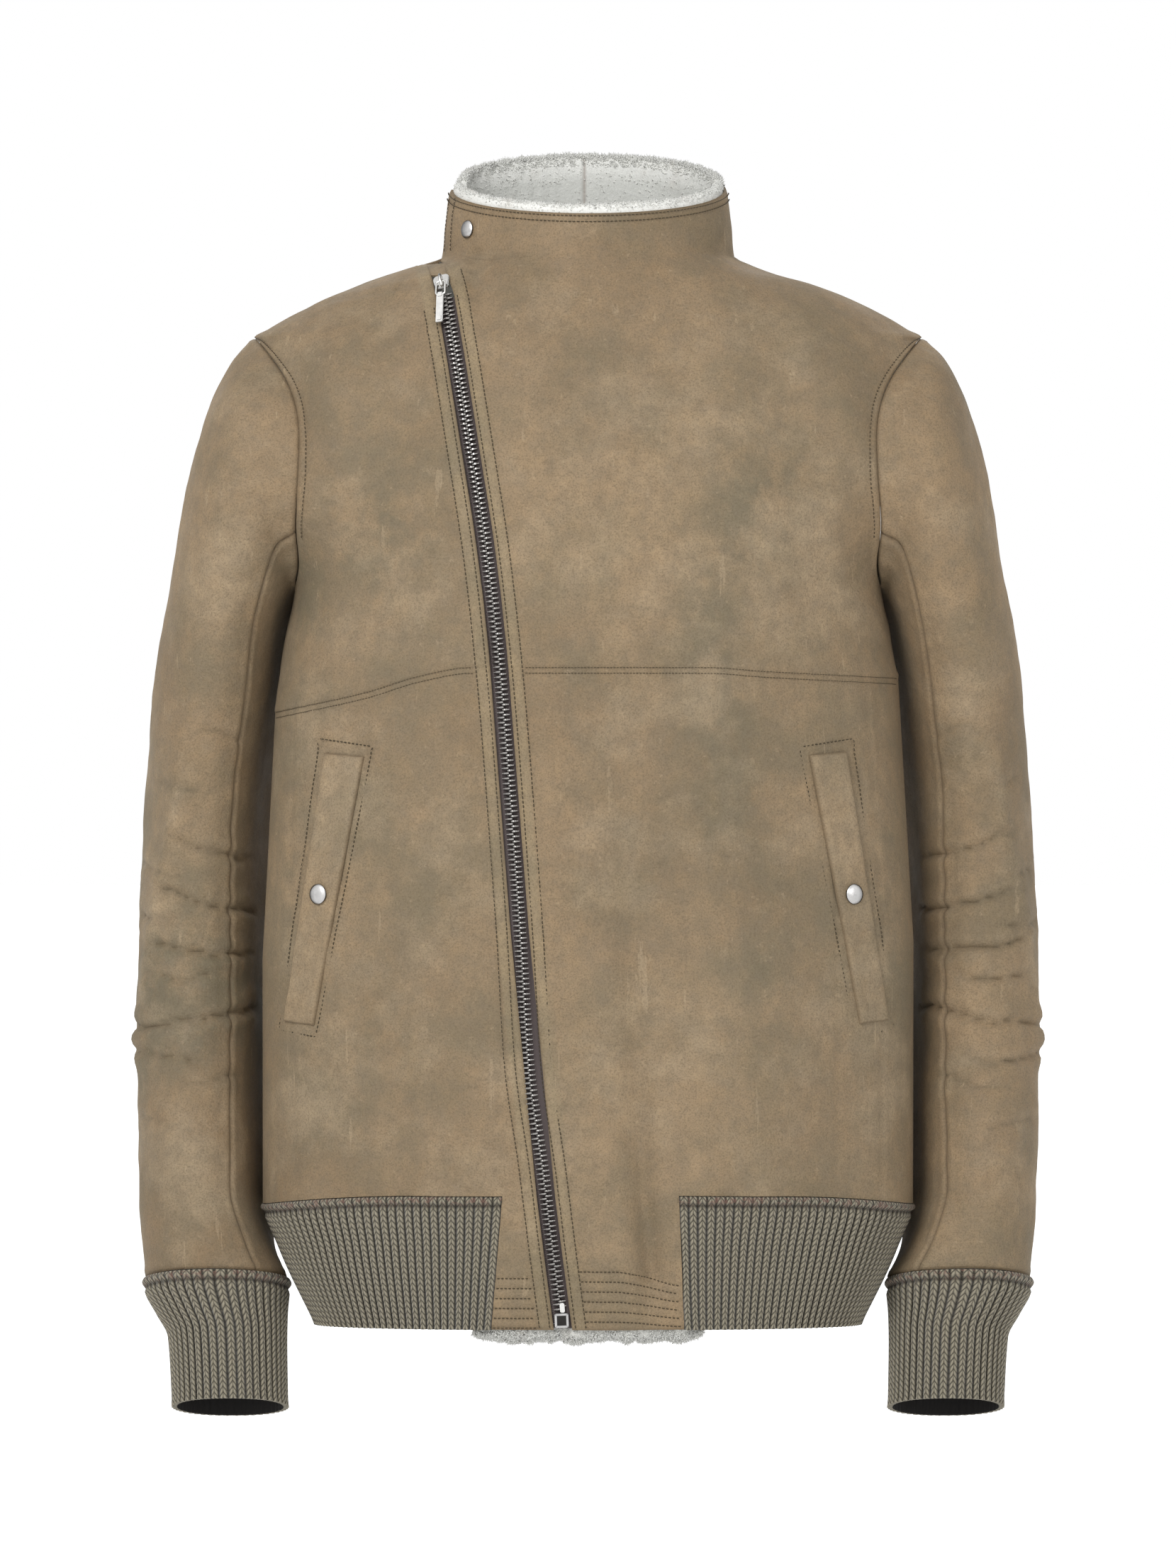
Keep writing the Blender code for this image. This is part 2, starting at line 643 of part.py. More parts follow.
def back_panel(columns, finish, collection):
    """The whole back, with the same rows at its sides as the fronts have."""
    parts = [k / columns for k in range(columns + 1)]
    holes = armhole_heights()
    rows = []

    def back_row(right_height, left_height, right_turn, left_turn):
        level = (right_height + left_height) / 2
        turns = spread_turns(right_turn, left_turn, level, parts)
        return [(turn, mix(right_height, left_height, part)) for turn, part in zip(turns, parts)]

    foot = band_top(SIDE)
    for k in range(LOWER_STEPS + 1):
        part = k / LOWER_STEPS
        row = back_row(mix(foot, SEAM_RIGHT, part), mix(foot, SEAM_LEFT, part), -SIDE, SIDE - 2 * math.pi)
        if k == 0:
            row = [(turn, band_top(turn)) for turn, height in row]
        rows.append(row)
    rows.append(
        back_row((SEAM_RIGHT + holes[0]) / 2, (SEAM_LEFT + holes[0]) / 2, -SIDE, SIDE - 2 * math.pi)
    )
    for height in [*holes, *SHOULDER_ROWS, NECK]:
        turn = outer_turn(height, -1, back=True)
        rows.append(back_row(height, height, turn, -2 * math.pi - turn))
    return body_panel(
        "back_panel", rows, ("start", "end", "top"), finish, collection, slope_sides=("start", "end")
    )


def collar_back(finish, collection):
    """The back of the collar, with the underlap that goes on inside the flap."""
    turns = back_collar_turns() + [turn + 2 * math.pi for turn in flap_turns()[1 : LAP_STEPS + 1]]
    outer, inner = [], []
    for part in (0.0, 0.5, 1.0):
        outer_row, inner_row = [], []
        for turn in turns:
            lapped = lapped_under(turn)
            inset = lapped * (LEATHER + 2 * GAP)
            height = mix(NECK + GAP / 2, collar_rim(turn) - lapped * LAP_DROP, part)
            outer_row.append(body_point(turn, height, inset))
            inner_row.append(body_point(turn, height, inset + LEATHER))
        outer.append(outer_row)
        inner.append(inner_row)
    return wall("collar_back", trim(outer, ("start",)), trim(inner, ("start",)), finish, collection)


def wool_wall(name, turns, foot_of, inset_of, finish, collection):
    """A band of wool inside the collar, which stands a little above the leather's rim."""
    outer, inner = [], []
    for part in (0.0, 0.5, 1.0):
        outer_row, inner_row = [], []
        for turn in turns:
            height = mix(foot_of(turn), collar_rim(turn) + WOOL_RISE, part)
            outer_row.append(body_point(turn, height, inset_of(turn)))
            inner_row.append(body_point(turn, height, inset_of(turn) + WOOL))
        outer.append(outer_row)
        inner.append(inner_row)
    for grid in (outer, inner):
        trim(grid, ("start", "end"))
        if "front" in name:
            trim(grid, ("start",), FLAP_WOOL_START)
    return wall(name, outer, inner, finish, collection)


def collar_wool(finish, collection):
    under_leather = LEATHER + 2 * GAP
    lap_end = flap_turns()[LAP_STEPS]

    def front_foot(turn):
        """Over the underlap the wool is only a band along the rim."""
        band = collar_rim(turn) - LAP_DROP + 3 * GAP
        return mix(band, WOOL_FOOT, eased(turn, lap_end + WOOL_EASE[0], lap_end + WOOL_EASE[1]))

    def back_inset(turn):
        return under_leather + lapped_under(turn) * under_leather

    wool_wall("collar_wool_front", flap_turns(), front_foot, lambda turn: under_leather, finish, collection)
    wool_wall("collar_wool_back", back_collar_turns(), lambda turn: WOOL_FOOT, back_inset, finish, collection)


def hem_band(name, side, finish, collection):
    """Half of the ribbed band, from its edge beside the zip round the side to the middle of the back."""
    outer, inner = [], []
    for down, lift, ribbing in BAND_ROWS:
        level = mix(RIB_TOP, HEM, down)
        start = turn_at(band_edge(side, level), level)
        parts = [k / (2 * HEM_RIBS) for k in range(2 * HEM_RIBS + 1)]
        turns = spread_turns(start, side * math.pi, level, parts)
        row = []
        for k, turn in enumerate(turns):
            height = mix(band_top(turn) - RIB_SEAM, HEM, down)
            crest = RIB_HEIGHT * ribbing if k % 2 else 0.0
            row.append(body_point(turn, height, -lift - crest - RIB_LIFT))
        outer.append(row)
        if down in (0.0, 1.0):
            valleys = turns[::2]
            drops = [mix(band_top(turn) - RIB_SEAM, HEM, down) for turn in valleys]
            inner.append([body_point(turn, height, RIB_WALL) for turn, height in zip(valleys, drops)])
    trim(outer, ("start", "end"), GAP)
    trim(inner, ("start", "end"), GAP)
    return ribbed_wall(name, outer, inner, False, finish, collection)


def hem_wool(name, side, finish, collection):
    """The wool of the front's inner side, where it hangs out below the leather."""
    inset = LEATHER + TAPE_CLEAR + TAPE_THICK + 2 * GAP
    outer, inner = [], []
    for part in (0.0, 0.5, 1.0):
        outer_row, inner_row = [], []
        for k in range(HEM_WOOL_COLUMNS + 1):
            x = mix(between(HEM, ZIP_LINE), side * HEM_WOOL_HALF, k / HEM_WOOL_COLUMNS)
            turn = turn_at(x, mix(HEM_WOOL_TOP, HEM, part))
            rounded = HEM_WOOL_DROP * (k / HEM_WOOL_COLUMNS) ** 6
            height = mix(HEM_WOOL_TOP, HEM - HEM_WOOL_DROP + rounded, part)
            outer_row.append(body_point(turn, height, inset))
            inner_row.append(body_point(turn, height, inset + WOOL))
        outer.append(outer_row)
        inner.append(inner_row)
    return wall(name, trim(outer, ("start",)), trim(inner, ("start",)), finish, collection)


def sleeve_ring(values):
    """The points of one sleeve ring, from the outer line over the front to the inner line and the back."""
    outer_x, outer_z, inner_x, inner_z, half_depth, middle_y, tilt, fold = values
    middle = Vector(((outer_x + inner_x) / 2, middle_y, (outer_z + inner_z) / 2))
    half = Vector(((outer_x - inner_x) / 2, 0.0, (outer_z - inner_z) / 2))
    ring = []
    for k in range(2 * ARMHOLE_STEPS):
        angle = math.pi * k / ARMHOLE_STEPS
        out = power(math.cos(angle), 2 / SLEEVE_SQUARENESS)
        forward = power(math.sin(angle), 2 / SLEEVE_SQUARENESS)
        crease_at = math.radians(between(middle.z, CREASE_LINE))
        on_crease = middle.z < CREASE_LINE[0][0] + 0.03 and middle.z > CREASE_LINE[-1][0] - 0.05
        off_crease = (angle - crease_at) / math.radians(CREASE_SPREAD)
        crease = CREASE_HEIGHT * math.exp(-(off_crease**2)) * on_crease
        drawn_in = fold * max(0.0, math.sin(angle)) ** 2
        point = middle + half * out
        point.y -= half_depth * forward
        point.z += tilt * half_depth * forward
        away = (point - middle).normalized()
        ring.append(point + away * (crease - drawn_in))
    return ring


def armhole_ring():
    """The armhole's edge on the left of the body, in the order of a sleeve ring."""
    heights = armhole_heights()[::-1]
    front = [body_point(outer_turn(height, 1), height) for height in heights]
    back = [body_point(outer_turn(height, 1, back=True), height) for height in heights]
    return front + back[-2:0:-1]


def ring_normals(rings):
    """The outward direction at each point of a tube of rings."""
    count = len(rings[0])
    normals = []
    for k, ring in enumerate(rings):
        before, after = rings[max(0, k - 1)], rings[min(len(rings) - 1, k + 1)]
        row = []
        for j in range(count):
            along = after[j] - before[j]
            around = ring[(j + 1) % count] - ring[j - 1]
            row.append(around.cross(along).normalized())
        normals.append(row)
    for _ in range(NORMAL_SMOOTHINGS):
        near = [normals[0], *normals, normals[-1]]
        normals = [
            [(near[k][j] + near[k + 1][j] + near[k + 2][j]).normalized() for j in range(count)]
            for k in range(len(rings))
        ]
    return normals


def mirrored(grid):
    return [[Vector((-point.x, point.y, point.z)) for point in row] for row in grid]


def sleeve(side_name, mirror, finish, collection):
    """A sleeve in two pieces, with one seam at the front of the forearm and one behind."""
    rings = [armhole_ring()] + [sleeve_ring(values) for values in SLEEVE_RINGS]
    normals = ring_normals(rings)
    outer, inner = [], []
    for k, ring in enumerate(rings):
        inner.append([point - normal * LEATHER for point, normal in zip(ring, normals[k])])
        outer.append(list(ring))
    toward = [(rings[1][j] - rings[0][j]).normalized() for j in range(len(rings[0]))]
    for j, way in enumerate(toward):
        outer[0][j] += way * GAP
        inner[0][j] += way * SEAM_SLOPE
    if mirror:
        outer, inner = mirrored(outer), mirrored(inner)
    count = len(rings[0])
    pieces = (
        ("top", [k % count for k in range(BACK_SEAM_STEP, count + FRONT_SEAM_STEP + 1)]),
        ("under", list(range(FRONT_SEAM_STEP, BACK_SEAM_STEP + 1))),
    )
    for piece, order in pieces:
        piece_outer = trim([[row[k] for k in order] for row in outer], ("start", "end"))
        piece_inner = trim([[row[k] for k in order] for row in inner], ("start", "end"))
        wall(f"sleeve_{side_name}_{piece}", piece_outer, piece_inner, finish, collection)


def cuff_ring(values, ribs, lined=False):
    """The points of one cuff ring. A lined ring is the plain one of the cuff's inner face."""
    outer_x, inner_x, height, half_depth, middle_y, tilt, proud, ribbing = values
    middle_x, half_width = (outer_x + inner_x) / 2, (outer_x - inner_x) / 2
    ring = []
    for k in range(ribs):
        angle = 2 * math.pi * k / ribs
        lift = -CUFF_WALL if lined else proud + (RIB_HEIGHT * ribbing if k % 2 else 0.0)
        x = middle_x + (half_width + lift) * power(math.cos(angle), 2 / SLEEVE_SQUARENESS)
        forward = (half_depth + lift) * power(math.sin(angle), 2 / SLEEVE_SQUARENESS)
        ring.append(Vector((x, middle_y - forward, height + tilt * forward)))
    return ring


def cuff(name, mirror, finish, collection):
    """A rib-knit cuff with its linked edge at the top."""
    outer = [cuff_ring(values, 2 * CUFF_RIBS) for values in CUFF_RINGS]
    inner = [cuff_ring(values, CUFF_RIBS, lined=True) for values in (CUFF_RINGS[0], *CUFF_RINGS[2:])]
    if mirror:
        outer, inner = mirrored(outer), mirrored(inner)
    return ribbed_wall(name, outer, inner, True, finish, collection)


def strip(name, beside, width, inset, thick, heights, finish, collection):
    """A flat strip that follows the zip down the front, its middle beside the zip's."""
    outer, inner = [], []
    for height in heights:
        outer_row, inner_row = [], []
        for edge in (-width / 2, width / 2):
            turn = turn_at(between(height, ZIP_LINE) + beside + edge, height)
            outer_row.append(body_point(turn, height, inset))
            inner_row.append(body_point(turn, height, inset + thick))
        outer.append(outer_row)
        inner.append(inner_row)
    return wall(name, outer, inner, finish, collection)


def zip_heights(bottom, top):
    """The heights of the fronts' rows at the zip, so that the zip bends where the leather does."""
    seam = chest_seam(0.0)
    holes = armhole_heights()
    heights = [mix(HEM, RIB_TOP, k / HEM_STEPS) for k in range(HEM_STEPS)]
    heights += [mix(RIB_TOP, seam, k / LOWER_STEPS) for k in range(LOWER_STEPS + 1)]
    heights += [(seam + holes[0]) / 2, *holes, *SHOULDER_ROWS]
    between = [height for height in heights if bottom + ZIP_ENDS[0] < height < top - ZIP_ENDS[1]]
    return [bottom] + between + [top]


def welt(name, top, bottom, finish, collection):
    """A pocket welt that lies on the lower front."""
    outer, inner = [], []
    for row in range(WELT_ROWS + 1):
        part = row / WELT_ROWS
        height = mix(bottom[2], top[2], part)
        outer_row, inner_row = [], []
        for k in range(WELT_COLUMNS + 1):
            across = k / WELT_COLUMNS
            x = mix(mix(bottom[0], bottom[1], across), mix(top[0], top[1], across), part)
            turn = turn_at(x, height)
            outer_row.append(body_point(turn, height, -WELT_LIFT - WELT_THICK))
            inner_row.append(body_point(turn, height, -WELT_LIFT))
        outer.append(outer_row)
        inner.append(inner_row)
    return wall(name, outer, inner, finish, collection)


def seat(x, height, lift):
    """A place on the body's front, with its Z axis pointing out and its X axis level."""
    turn = turn_at(x, height)
    normal = body_normal(turn, height)
    level = Vector((0, 0, 1)).cross(normal).normalized()
    up = normal.cross(level)
    turned = Matrix((level, up, normal)).transposed().to_4x4()
    return Matrix.Translation(body_point(turn, height, -lift)) @ turned


def snap(name, at, radius, lift, finish, collection):
    """A domed snap cap, turned from half of its profile."""
    profile = [(0.0, SNAP_HEIGHT)]
    for degrees in (25, 50, 72):
        angle = math.radians(degrees)
        rise = SNAP_RIM + (SNAP_HEIGHT - SNAP_RIM) * math.cos(angle)
        profile.append((radius * 0.93 * math.sin(angle), rise))
    profile += [(radius * 0.95, SNAP_RIM), (radius, SNAP_RIM * 0.7), (radius, 0.0), (0.0, 0.0)]
    mesh = bpy.data.meshes.new(name)
    mesh.from_pydata([(x, 0.0, z) for x, z in profile], [(k, k + 1) for k in range(len(profile) - 1)], [])
    made = new_object(name, mesh, finish, collection)
    turned = made.modifiers.new("turned", "SCREW")
    turned.steps = turned.render_steps = 14
    turned.use_merge_vertices = True
    turned.merge_threshold = 0.00005
    turned.use_smooth_shade = True
    made.matrix_world = seat(*at, lift)


def box_mesh(name, size, centre, bevel):
    made = bmesh.new()
    bmesh.ops.create_cube(made, size=1.0)
    bmesh.ops.scale(made, vec=size, verts=made.verts)
    bmesh.ops.translate(made, vec=centre, verts=made.verts)
    bmesh.ops.bevel(made, geom=made.edges, offset=bevel, segments=1, affect="EDGES")
    mesh = bpy.data.meshes.new(name)
    made.to_mesh(mesh)
    made.free()
    return mesh


def tube_mesh(name, points, radius, cyclic, collection):
    """A round tube along points, as a mesh with welded ends."""
    curve = bpy.data.curves.new(name, "CURVE")
    curve.dimensions = "3D"
    curve.bevel_depth = radius
    curve.bevel_resolution = 1
    curve.use_fill_caps = True
    spline = curve.splines.new("POLY")
    spline.points.add(len(points) - 1)
    for k, point in enumerate(points):
        spline.points[k].co = (*point, 1.0)
    spline.use_cyclic_u = cyclic
    guide = bpy.data.objects.new(name, curve)
    collection.objects.link(guide)
    bpy.context.view_layer.update()
    mesh = bpy.data.meshes.new_from_object(guide.evaluated_get(bpy.context.evaluated_depsgraph_get()))
    bpy.data.objects.remove(guide, do_unlink=True)
    made = bmesh.new()
    made.from_mesh(mesh)
    bmesh.ops.remove_doubles(made, verts=made.verts, dist=0.00001)
    bmesh.ops.recalc_face_normals(made, faces=made.faces)
    made.to_mesh(mesh)
    made.free()
    return mesh


def join_shapes(base, mesh, place, cutters):
    """Unites another mesh with an object, both placed alike."""
    base.matrix_world = place
    tool = bpy.data.objects.new(f"{base.name}_tool", mesh)
    tool.matrix_world = place
    tool.hide_render = True
    tool.display_type = "WIRE"
    cutters.objects.link(tool)
    union = base.modifiers.new("union", "BOOLEAN")
    union.operation = "UNION"
    union.object = tool


def zip_seat(height):
    """A place on the zip's middle, with Y pointing up along the zip and Z out."""
    x = between(height, ZIP_LINE)
    place = seat(x, height, 0.0)
    below = body_point(turn_at(between(height - 0.02, ZIP_LINE), height - 0.02), height - 0.02)
    out = place.to_3x3() @ Vector((0, 0, 1))
    up = place.to_translation() - below
    up = (up - out * up.dot(out)).normalized()
    level = up.cross(out)
    return Matrix.Translation(place.to_translation()) @ Matrix((level, up, out)).transposed().to_4x4()


def zip_parts(tape_finish, metal, collection, cutters):
    heights = zip_heights(TAPE_BOTTOM, TAPE_TOP)
    middle = TAPE_WIDTH / 2 + GAP / 2
    behind = LEATHER + TAPE_CLEAR
    for name, side in (("zip_tape_right", -1), ("zip_tape_left", 1)):
        strip(name, side * middle, TAPE_WIDTH, behind, TAPE_THICK, heights, tape_finish, collection)
    chain_heights = zip_heights(CHAIN_BOTTOM, CHAIN_TOP)
    strip("zip_chain", 0.0, CHAIN_WIDTH, 0.0, CHAIN_THICK, chain_heights, metal, collection)

    place = zip_seat(SLIDER_HEIGHT)
    plate_centre = (0.0, 0.0, SLIDER_LIFT + SLIDER_SIZE.z / 2)
    plate_mesh = box_mesh("zip_slider", SLIDER_SIZE, plate_centre, SLIDER_BEVEL)
    plate = new_object("zip_slider", plate_mesh, metal, collection)
    arch = [(0.0, -y, z) for y, z in BRIDGE_ARCH] + [(0.0, y, z) for y, z in reversed(BRIDGE_ARCH)]
    bridge = tube_mesh("bridge", arch, BRIDGE_RADIUS, False, cutters)
    join_shapes(plate, bridge, place, cutters)

    link = [(-LINK_HALF, 0.0), (LINK_HALF, 0.0), (LINK_HALF, -LINK_LENGTH), (-LINK_HALF, -LINK_LENGTH)]
    tab_centre = (0.0, -LINK_LENGTH - TAB_SIZE.y / 2 + LINK_OVERLAP, 0.0)
    tab = new_object("zip_pull", box_mesh("zip_pull", TAB_SIZE, tab_centre, TAB_BEVEL), metal, collection)
    ring = tube_mesh("link", [(x, y, 0.0) for x, y in link], LINK_RADIUS, True, cutters)
    turned = Matrix.Rotation(PULL_HANG, 4, "Z") @ Matrix.Rotation(PULL_TILT, 4, "X")
    hinge = place @ Matrix.Translation((0.0, -HINGE_DOWN, HINGE_HEIGHT)) @ turned
    join_shapes(tab, ring, hinge, cutters)

    box = new_object("zip_box", box_mesh("zip_box", BOX_SIZE, BOX_CENTRE, BOX_BEVEL), metal, collection)
    box.matrix_world = zip_seat(HEM + BOX_UP)


def build():
    clear_scene()
    parts = new_collection("sheepskin_flying_jacket")
    cutters = new_collection("cutters", hidden=True)
    body_leather = new_material("leather", (0.38, 0.28, 0.17), 0.75)
    sleeve_leather = new_material("sleeve_leather", (0.36, 0.265, 0.16), 0.75)
    welt_leather = new_material("welt_leather", (0.42, 0.31, 0.19), 0.72)
    wool = new_material("wool", (0.78, 0.77, 0.70), 0.95)
    knit = new_material("rib_knit", (0.23, 0.20, 0.145), 0.95)
    tape = new_material("zip_tape", (0.11, 0.085, 0.08), 0.85)
    nickel = new_material("nickel", (0.62, 0.61, 0.58), 0.28, 1.0)
    pewter = new_material("pewter", (0.50, 0.50, 0.48), 0.40, 1.0)

    back_panel(16, body_leather, parts)
    upper_front("front_right_upper", -1, 8, ("start", "end", "bottom"), body_leather, parts)
    upper_front("front_left_upper", 1, COLLAR_COLUMNS, ("end", "bottom"), body_leather, parts)
    lower_front("front_right_lower", -1, 8, 2, body_leather, parts)
    lower_front("front_left_lower", 1, COLLAR_COLUMNS, 5, body_leather, parts)
    collar_back(body_leather, parts)
    collar_wool(wool, parts)

    for side_name, side in (("right", -1), ("left", 1)):
        sleeve(side_name, side < 0, sleeve_leather, parts)
        cuff(f"cuff_{side_name}", side < 0, knit, parts)
        hem_band(f"hem_rib_{side_name}", side, knit, parts)
        hem_wool(f"hem_wool_{side_name}", side, wool, parts)

    welt("pocket_welt_right", RIGHT_WELT_TOP, RIGHT_WELT_BOTTOM, welt_leather, parts)
    welt("pocket_welt_left", LEFT_WELT_TOP, LEFT_WELT_BOTTOM, welt_leather, parts)
    zip_parts(tape, nickel, parts, cutters)

    on_welt = WELT_LIFT + WELT_THICK + GAP
    snap("snap_pocket_right", SNAP_PLACES["right"], SNAP_RADIUS, on_welt, pewter, parts)
    snap("snap_pocket_left", SNAP_PLACES["left"], SNAP_RADIUS, on_welt, pewter, parts)
    snap("snap_collar", SNAP_PLACES["collar"], COLLAR_SNAP_RADIUS, GAP, pewter, parts)


build()
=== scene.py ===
"""The looks of a sheepskin flying jacket: stitched suede panels, wool pile, rib knit, a zip and snaps."""

import math

import bmesh
import bpy
import numpy as np
from mathutils import Matrix, Vector


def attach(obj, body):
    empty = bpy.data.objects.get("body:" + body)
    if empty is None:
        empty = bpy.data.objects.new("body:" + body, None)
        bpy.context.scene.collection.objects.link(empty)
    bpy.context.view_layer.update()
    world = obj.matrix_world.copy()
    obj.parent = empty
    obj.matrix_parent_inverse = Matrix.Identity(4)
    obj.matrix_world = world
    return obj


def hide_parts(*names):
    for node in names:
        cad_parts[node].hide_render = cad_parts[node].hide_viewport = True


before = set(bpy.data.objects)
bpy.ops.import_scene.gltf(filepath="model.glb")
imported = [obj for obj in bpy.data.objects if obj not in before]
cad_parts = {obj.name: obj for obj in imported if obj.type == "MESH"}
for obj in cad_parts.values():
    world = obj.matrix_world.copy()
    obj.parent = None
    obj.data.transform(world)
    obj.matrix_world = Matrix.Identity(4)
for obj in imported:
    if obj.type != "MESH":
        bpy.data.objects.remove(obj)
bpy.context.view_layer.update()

GAP = 0.0003
LEATHER = 0.0024
SIDE = math.pi / 2
STEP = 0.0004
HEM = -0.690
RIB_TOP = -0.604
RIB_DROP = 0.008
RIB_SEAM = 0.0006
RIB_LIFT = 0.0004
NECK = 0.001
ARMHOLE_TOP = -0.0515
ARMHOLE_BOTTOM = -0.2125
ARMHOLE_DEPTH = 0.070
SHOULDER_TOP = -0.0035

# The body's oval sections: height, half width, reach to the front and to the back, y of the middle,
# squareness.
BODY_SECTIONS = (
    (0.0800, 0.0880, 0.0760, 0.0660, 0.000, 2.00),
    (0.0450, 0.0904, 0.0770, 0.0680, 0.000, 2.00),
    (0.0170, 0.0935, 0.0780, 0.0700, 0.000, 2.00),
    (0.0010, 0.0950, 0.0800, 0.0740, 0.000, 2.00),
    (-0.0035, 0.1050, 0.0812, 0.0770, 0.000, 2.00),
    (-0.0075, 0.1165, 0.0824, 0.0800, 0.000, 2.00),
    (-0.0160, 0.1440, 0.0850, 0.0860, 0.000, 2.00),
    (-0.0267, 0.1710, 0.0885, 0.0930, 0.000, 2.00),
    (-0.0375, 0.1940, 0.0920, 0.0990, 0.000, 2.00),
    (-0.0460, 0.2077, 0.0950, 0.1030, 0.000, 2.00),
    (-0.0515, 0.2160, 0.0970, 0.1060, 0.000, 2.00),
    (-0.0700, 0.2215, 0.1030, 0.1140, 0.000, 2.05),
    (-0.1000, 0.2235, 0.1110, 0.1220, -0.002, 2.10),
    (-0.1300, 0.2215, 0.1170, 0.1270, -0.004, 2.15),
    (-0.1700, 0.2105, 0.1200, 0.1310, -0.007, 2.20),
    (-0.2125, 0.1900, 0.1210, 0.1320, -0.010, 2.30),
    (-0.2430, 0.1950, 0.1195, 0.1320, -0.012, 2.30),
    (-0.2920, 0.2022, 0.1170, 0.1310, -0.015, 2.35),
    (-0.3520, 0.2062, 0.1140, 0.1300, -0.018, 2.35),
    (-0.4200, 0.2105, 0.1120, 0.1300, -0.020, 2.35),
    (-0.5000, 0.2112, 0.1120, 0.1310, -0.020, 2.35),
    (-0.5800, 0.2125, 0.1130, 0.1330, -0.020, 2.35),
    (-0.6060, 0.2115, 0.1120, 0.1310, -0.020, 2.35),
    (-0.6400, 0.1990, 0.1090, 0.1200, -0.020, 2.30),
    (-0.6900, 0.1755, 0.1050, 0.1040, -0.020, 2.30),
)

# Soft folds of each side: x and z of the start and of the end, half width, and how far it stands out.
BODY_FOLDS = {
    "front": (
        (-0.160, -0.075, -0.178, -0.150, 0.024, 0.0045), (0.158, -0.075, 0.176, -0.155, 0.024, 0.0045),
        (-0.135, -0.110, -0.155, -0.190, 0.026, -0.0030), (0.132, -0.110, 0.152, -0.190, 0.026, -0.0030),
        (0.034, -0.590, 0.043, -0.662, 0.020, -0.0060), (0.012, -0.560, 0.020, -0.680, 0.022, 0.0040),
        (-0.100, -0.430, -0.085, -0.590, 0.030, 0.0045), (0.110, -0.420, 0.098, -0.590, 0.030, 0.0045),
        (0.140, -0.500, 0.150, -0.590, 0.024, -0.0040), (-0.135, -0.520, -0.130, -0.595, 0.024, -0.0035),
    ),
    "back": (
        (-0.150, -0.100, -0.165, -0.200, 0.026, 0.0045), (0.150, -0.100, 0.165, -0.200, 0.026, 0.0045),
        (-0.095, -0.350, -0.120, -0.590, 0.032, 0.0050), (0.095, -0.370, 0.115, -0.590, 0.032, 0.0050),
        (0.010, -0.430, -0.004, -0.600, 0.034, 0.0045), (0.055, -0.480, 0.058, -0.600, 0.026, -0.0040),
        (-0.058, -0.470, -0.060, -0.600, 0.026, -0.0040),
    ),
}

# Narrower creases of the leather: the same columns.
FINE_FOLDS = {
    "front": (
        (-0.0715, 0.000, -0.0740, -0.033, 0.0045, -0.0022),
        (-0.0790, -0.008, -0.0815, -0.030, 0.0035, 0.0012),
        (0.035, -0.602, 0.041, -0.655, 0.0060, -0.0040), (0.049, -0.600, 0.056, -0.660, 0.0080, 0.0022),
        (0.021, -0.610, 0.030, -0.668, 0.0075, 0.0020), (0.085, -0.470, 0.090, -0.600, 0.0120, -0.0018),
        (0.075, -0.440, 0.072, -0.590, 0.0110, 0.0016), (0.122, -0.440, 0.130, -0.560, 0.0120, 0.0016),
        (-0.070, -0.500, -0.062, -0.600, 0.0110, 0.0015),
        (-0.115, -0.500, -0.112, -0.600, 0.0120, -0.0015), (0.010, -0.130, 0.034, -0.230, 0.0130, 0.0014),
        (-0.020, -0.150, 0.012, -0.250, 0.0140, -0.0010), (0.140, -0.062, 0.166, -0.110, 0.0100, 0.0018),
        (0.153, -0.085, 0.171, -0.150, 0.0090, -0.0018), (-0.142, -0.062, -0.166, -0.110, 0.0100, 0.0018),
        (-0.155, -0.085, -0.172, -0.150, 0.0090, -0.0018), (-0.045, 0.010, -0.040, -0.060, 0.0120, 0.0010),
        (0.060, 0.000, 0.085, -0.060, 0.0130, 0.0012),
    ),
    "back": (
        (-0.030, -0.480, -0.036, -0.600, 0.0120, 0.0018), (0.090, -0.500, 0.088, -0.600, 0.0120, -0.0018),
        (-0.110, -0.500, -0.116, -0.600, 0.0120, -0.0015), (0.140, -0.130, 0.160, -0.210, 0.0110, -0.0018),
        (-0.140, -0.130, -0.160, -0.210, 0.0110, -0.0018),
    ),
}

# The middle of the zip: height and x.
ZIP_LINE = (
    (0.0010, -0.1000),
    (-0.0193, -0.0936),
    (-0.0470, -0.0885),
    (-0.1160, -0.0770),
    (-0.1900, -0.0655),
    (-0.2620, -0.0572),
    (-0.3340, -0.0511),
    (-0.4400, -0.0433),
    (-0.5220, -0.0382),
    (-0.5865, -0.0292),
    (-0.6417, -0.0223),
    (-0.6900, -0.0160),
)
ZIP_GAP = 0.0118
TAPE_TOP = -0.0267
TAPE_BOTTOM = -0.689
CHAIN_TOP = -0.0200
TAPE_WIDTH = 0.0145
TAPE_THICK = 0.0011
TAPE_CLEAR = 0.0008
CHAIN_BOTTOM = -0.678
TOOTH_PITCH = 0.00325
SLIDER_HEIGHT = -0.0193
HINGE_HEIGHT = 0.0045
HINGE_DOWN = 0.0020
PULL_TILT = math.radians(11)
PULL_HANG = math.radians(-11)
LINK_HALF = 0.0030
LINK_LENGTH = 0.0098
LINK_RADIUS = 0.00065
TAB_HALF = 0.0024
TAB_LENGTH = 0.0223
BOX_UP = 0.0062
NEAR_ROW = 0.0023
FAR_ROW = 0.0090
FLAP_EDGE = ((0.0010, -0.0950), (-0.0120, -0.0912), (-0.0244, -0.0867))

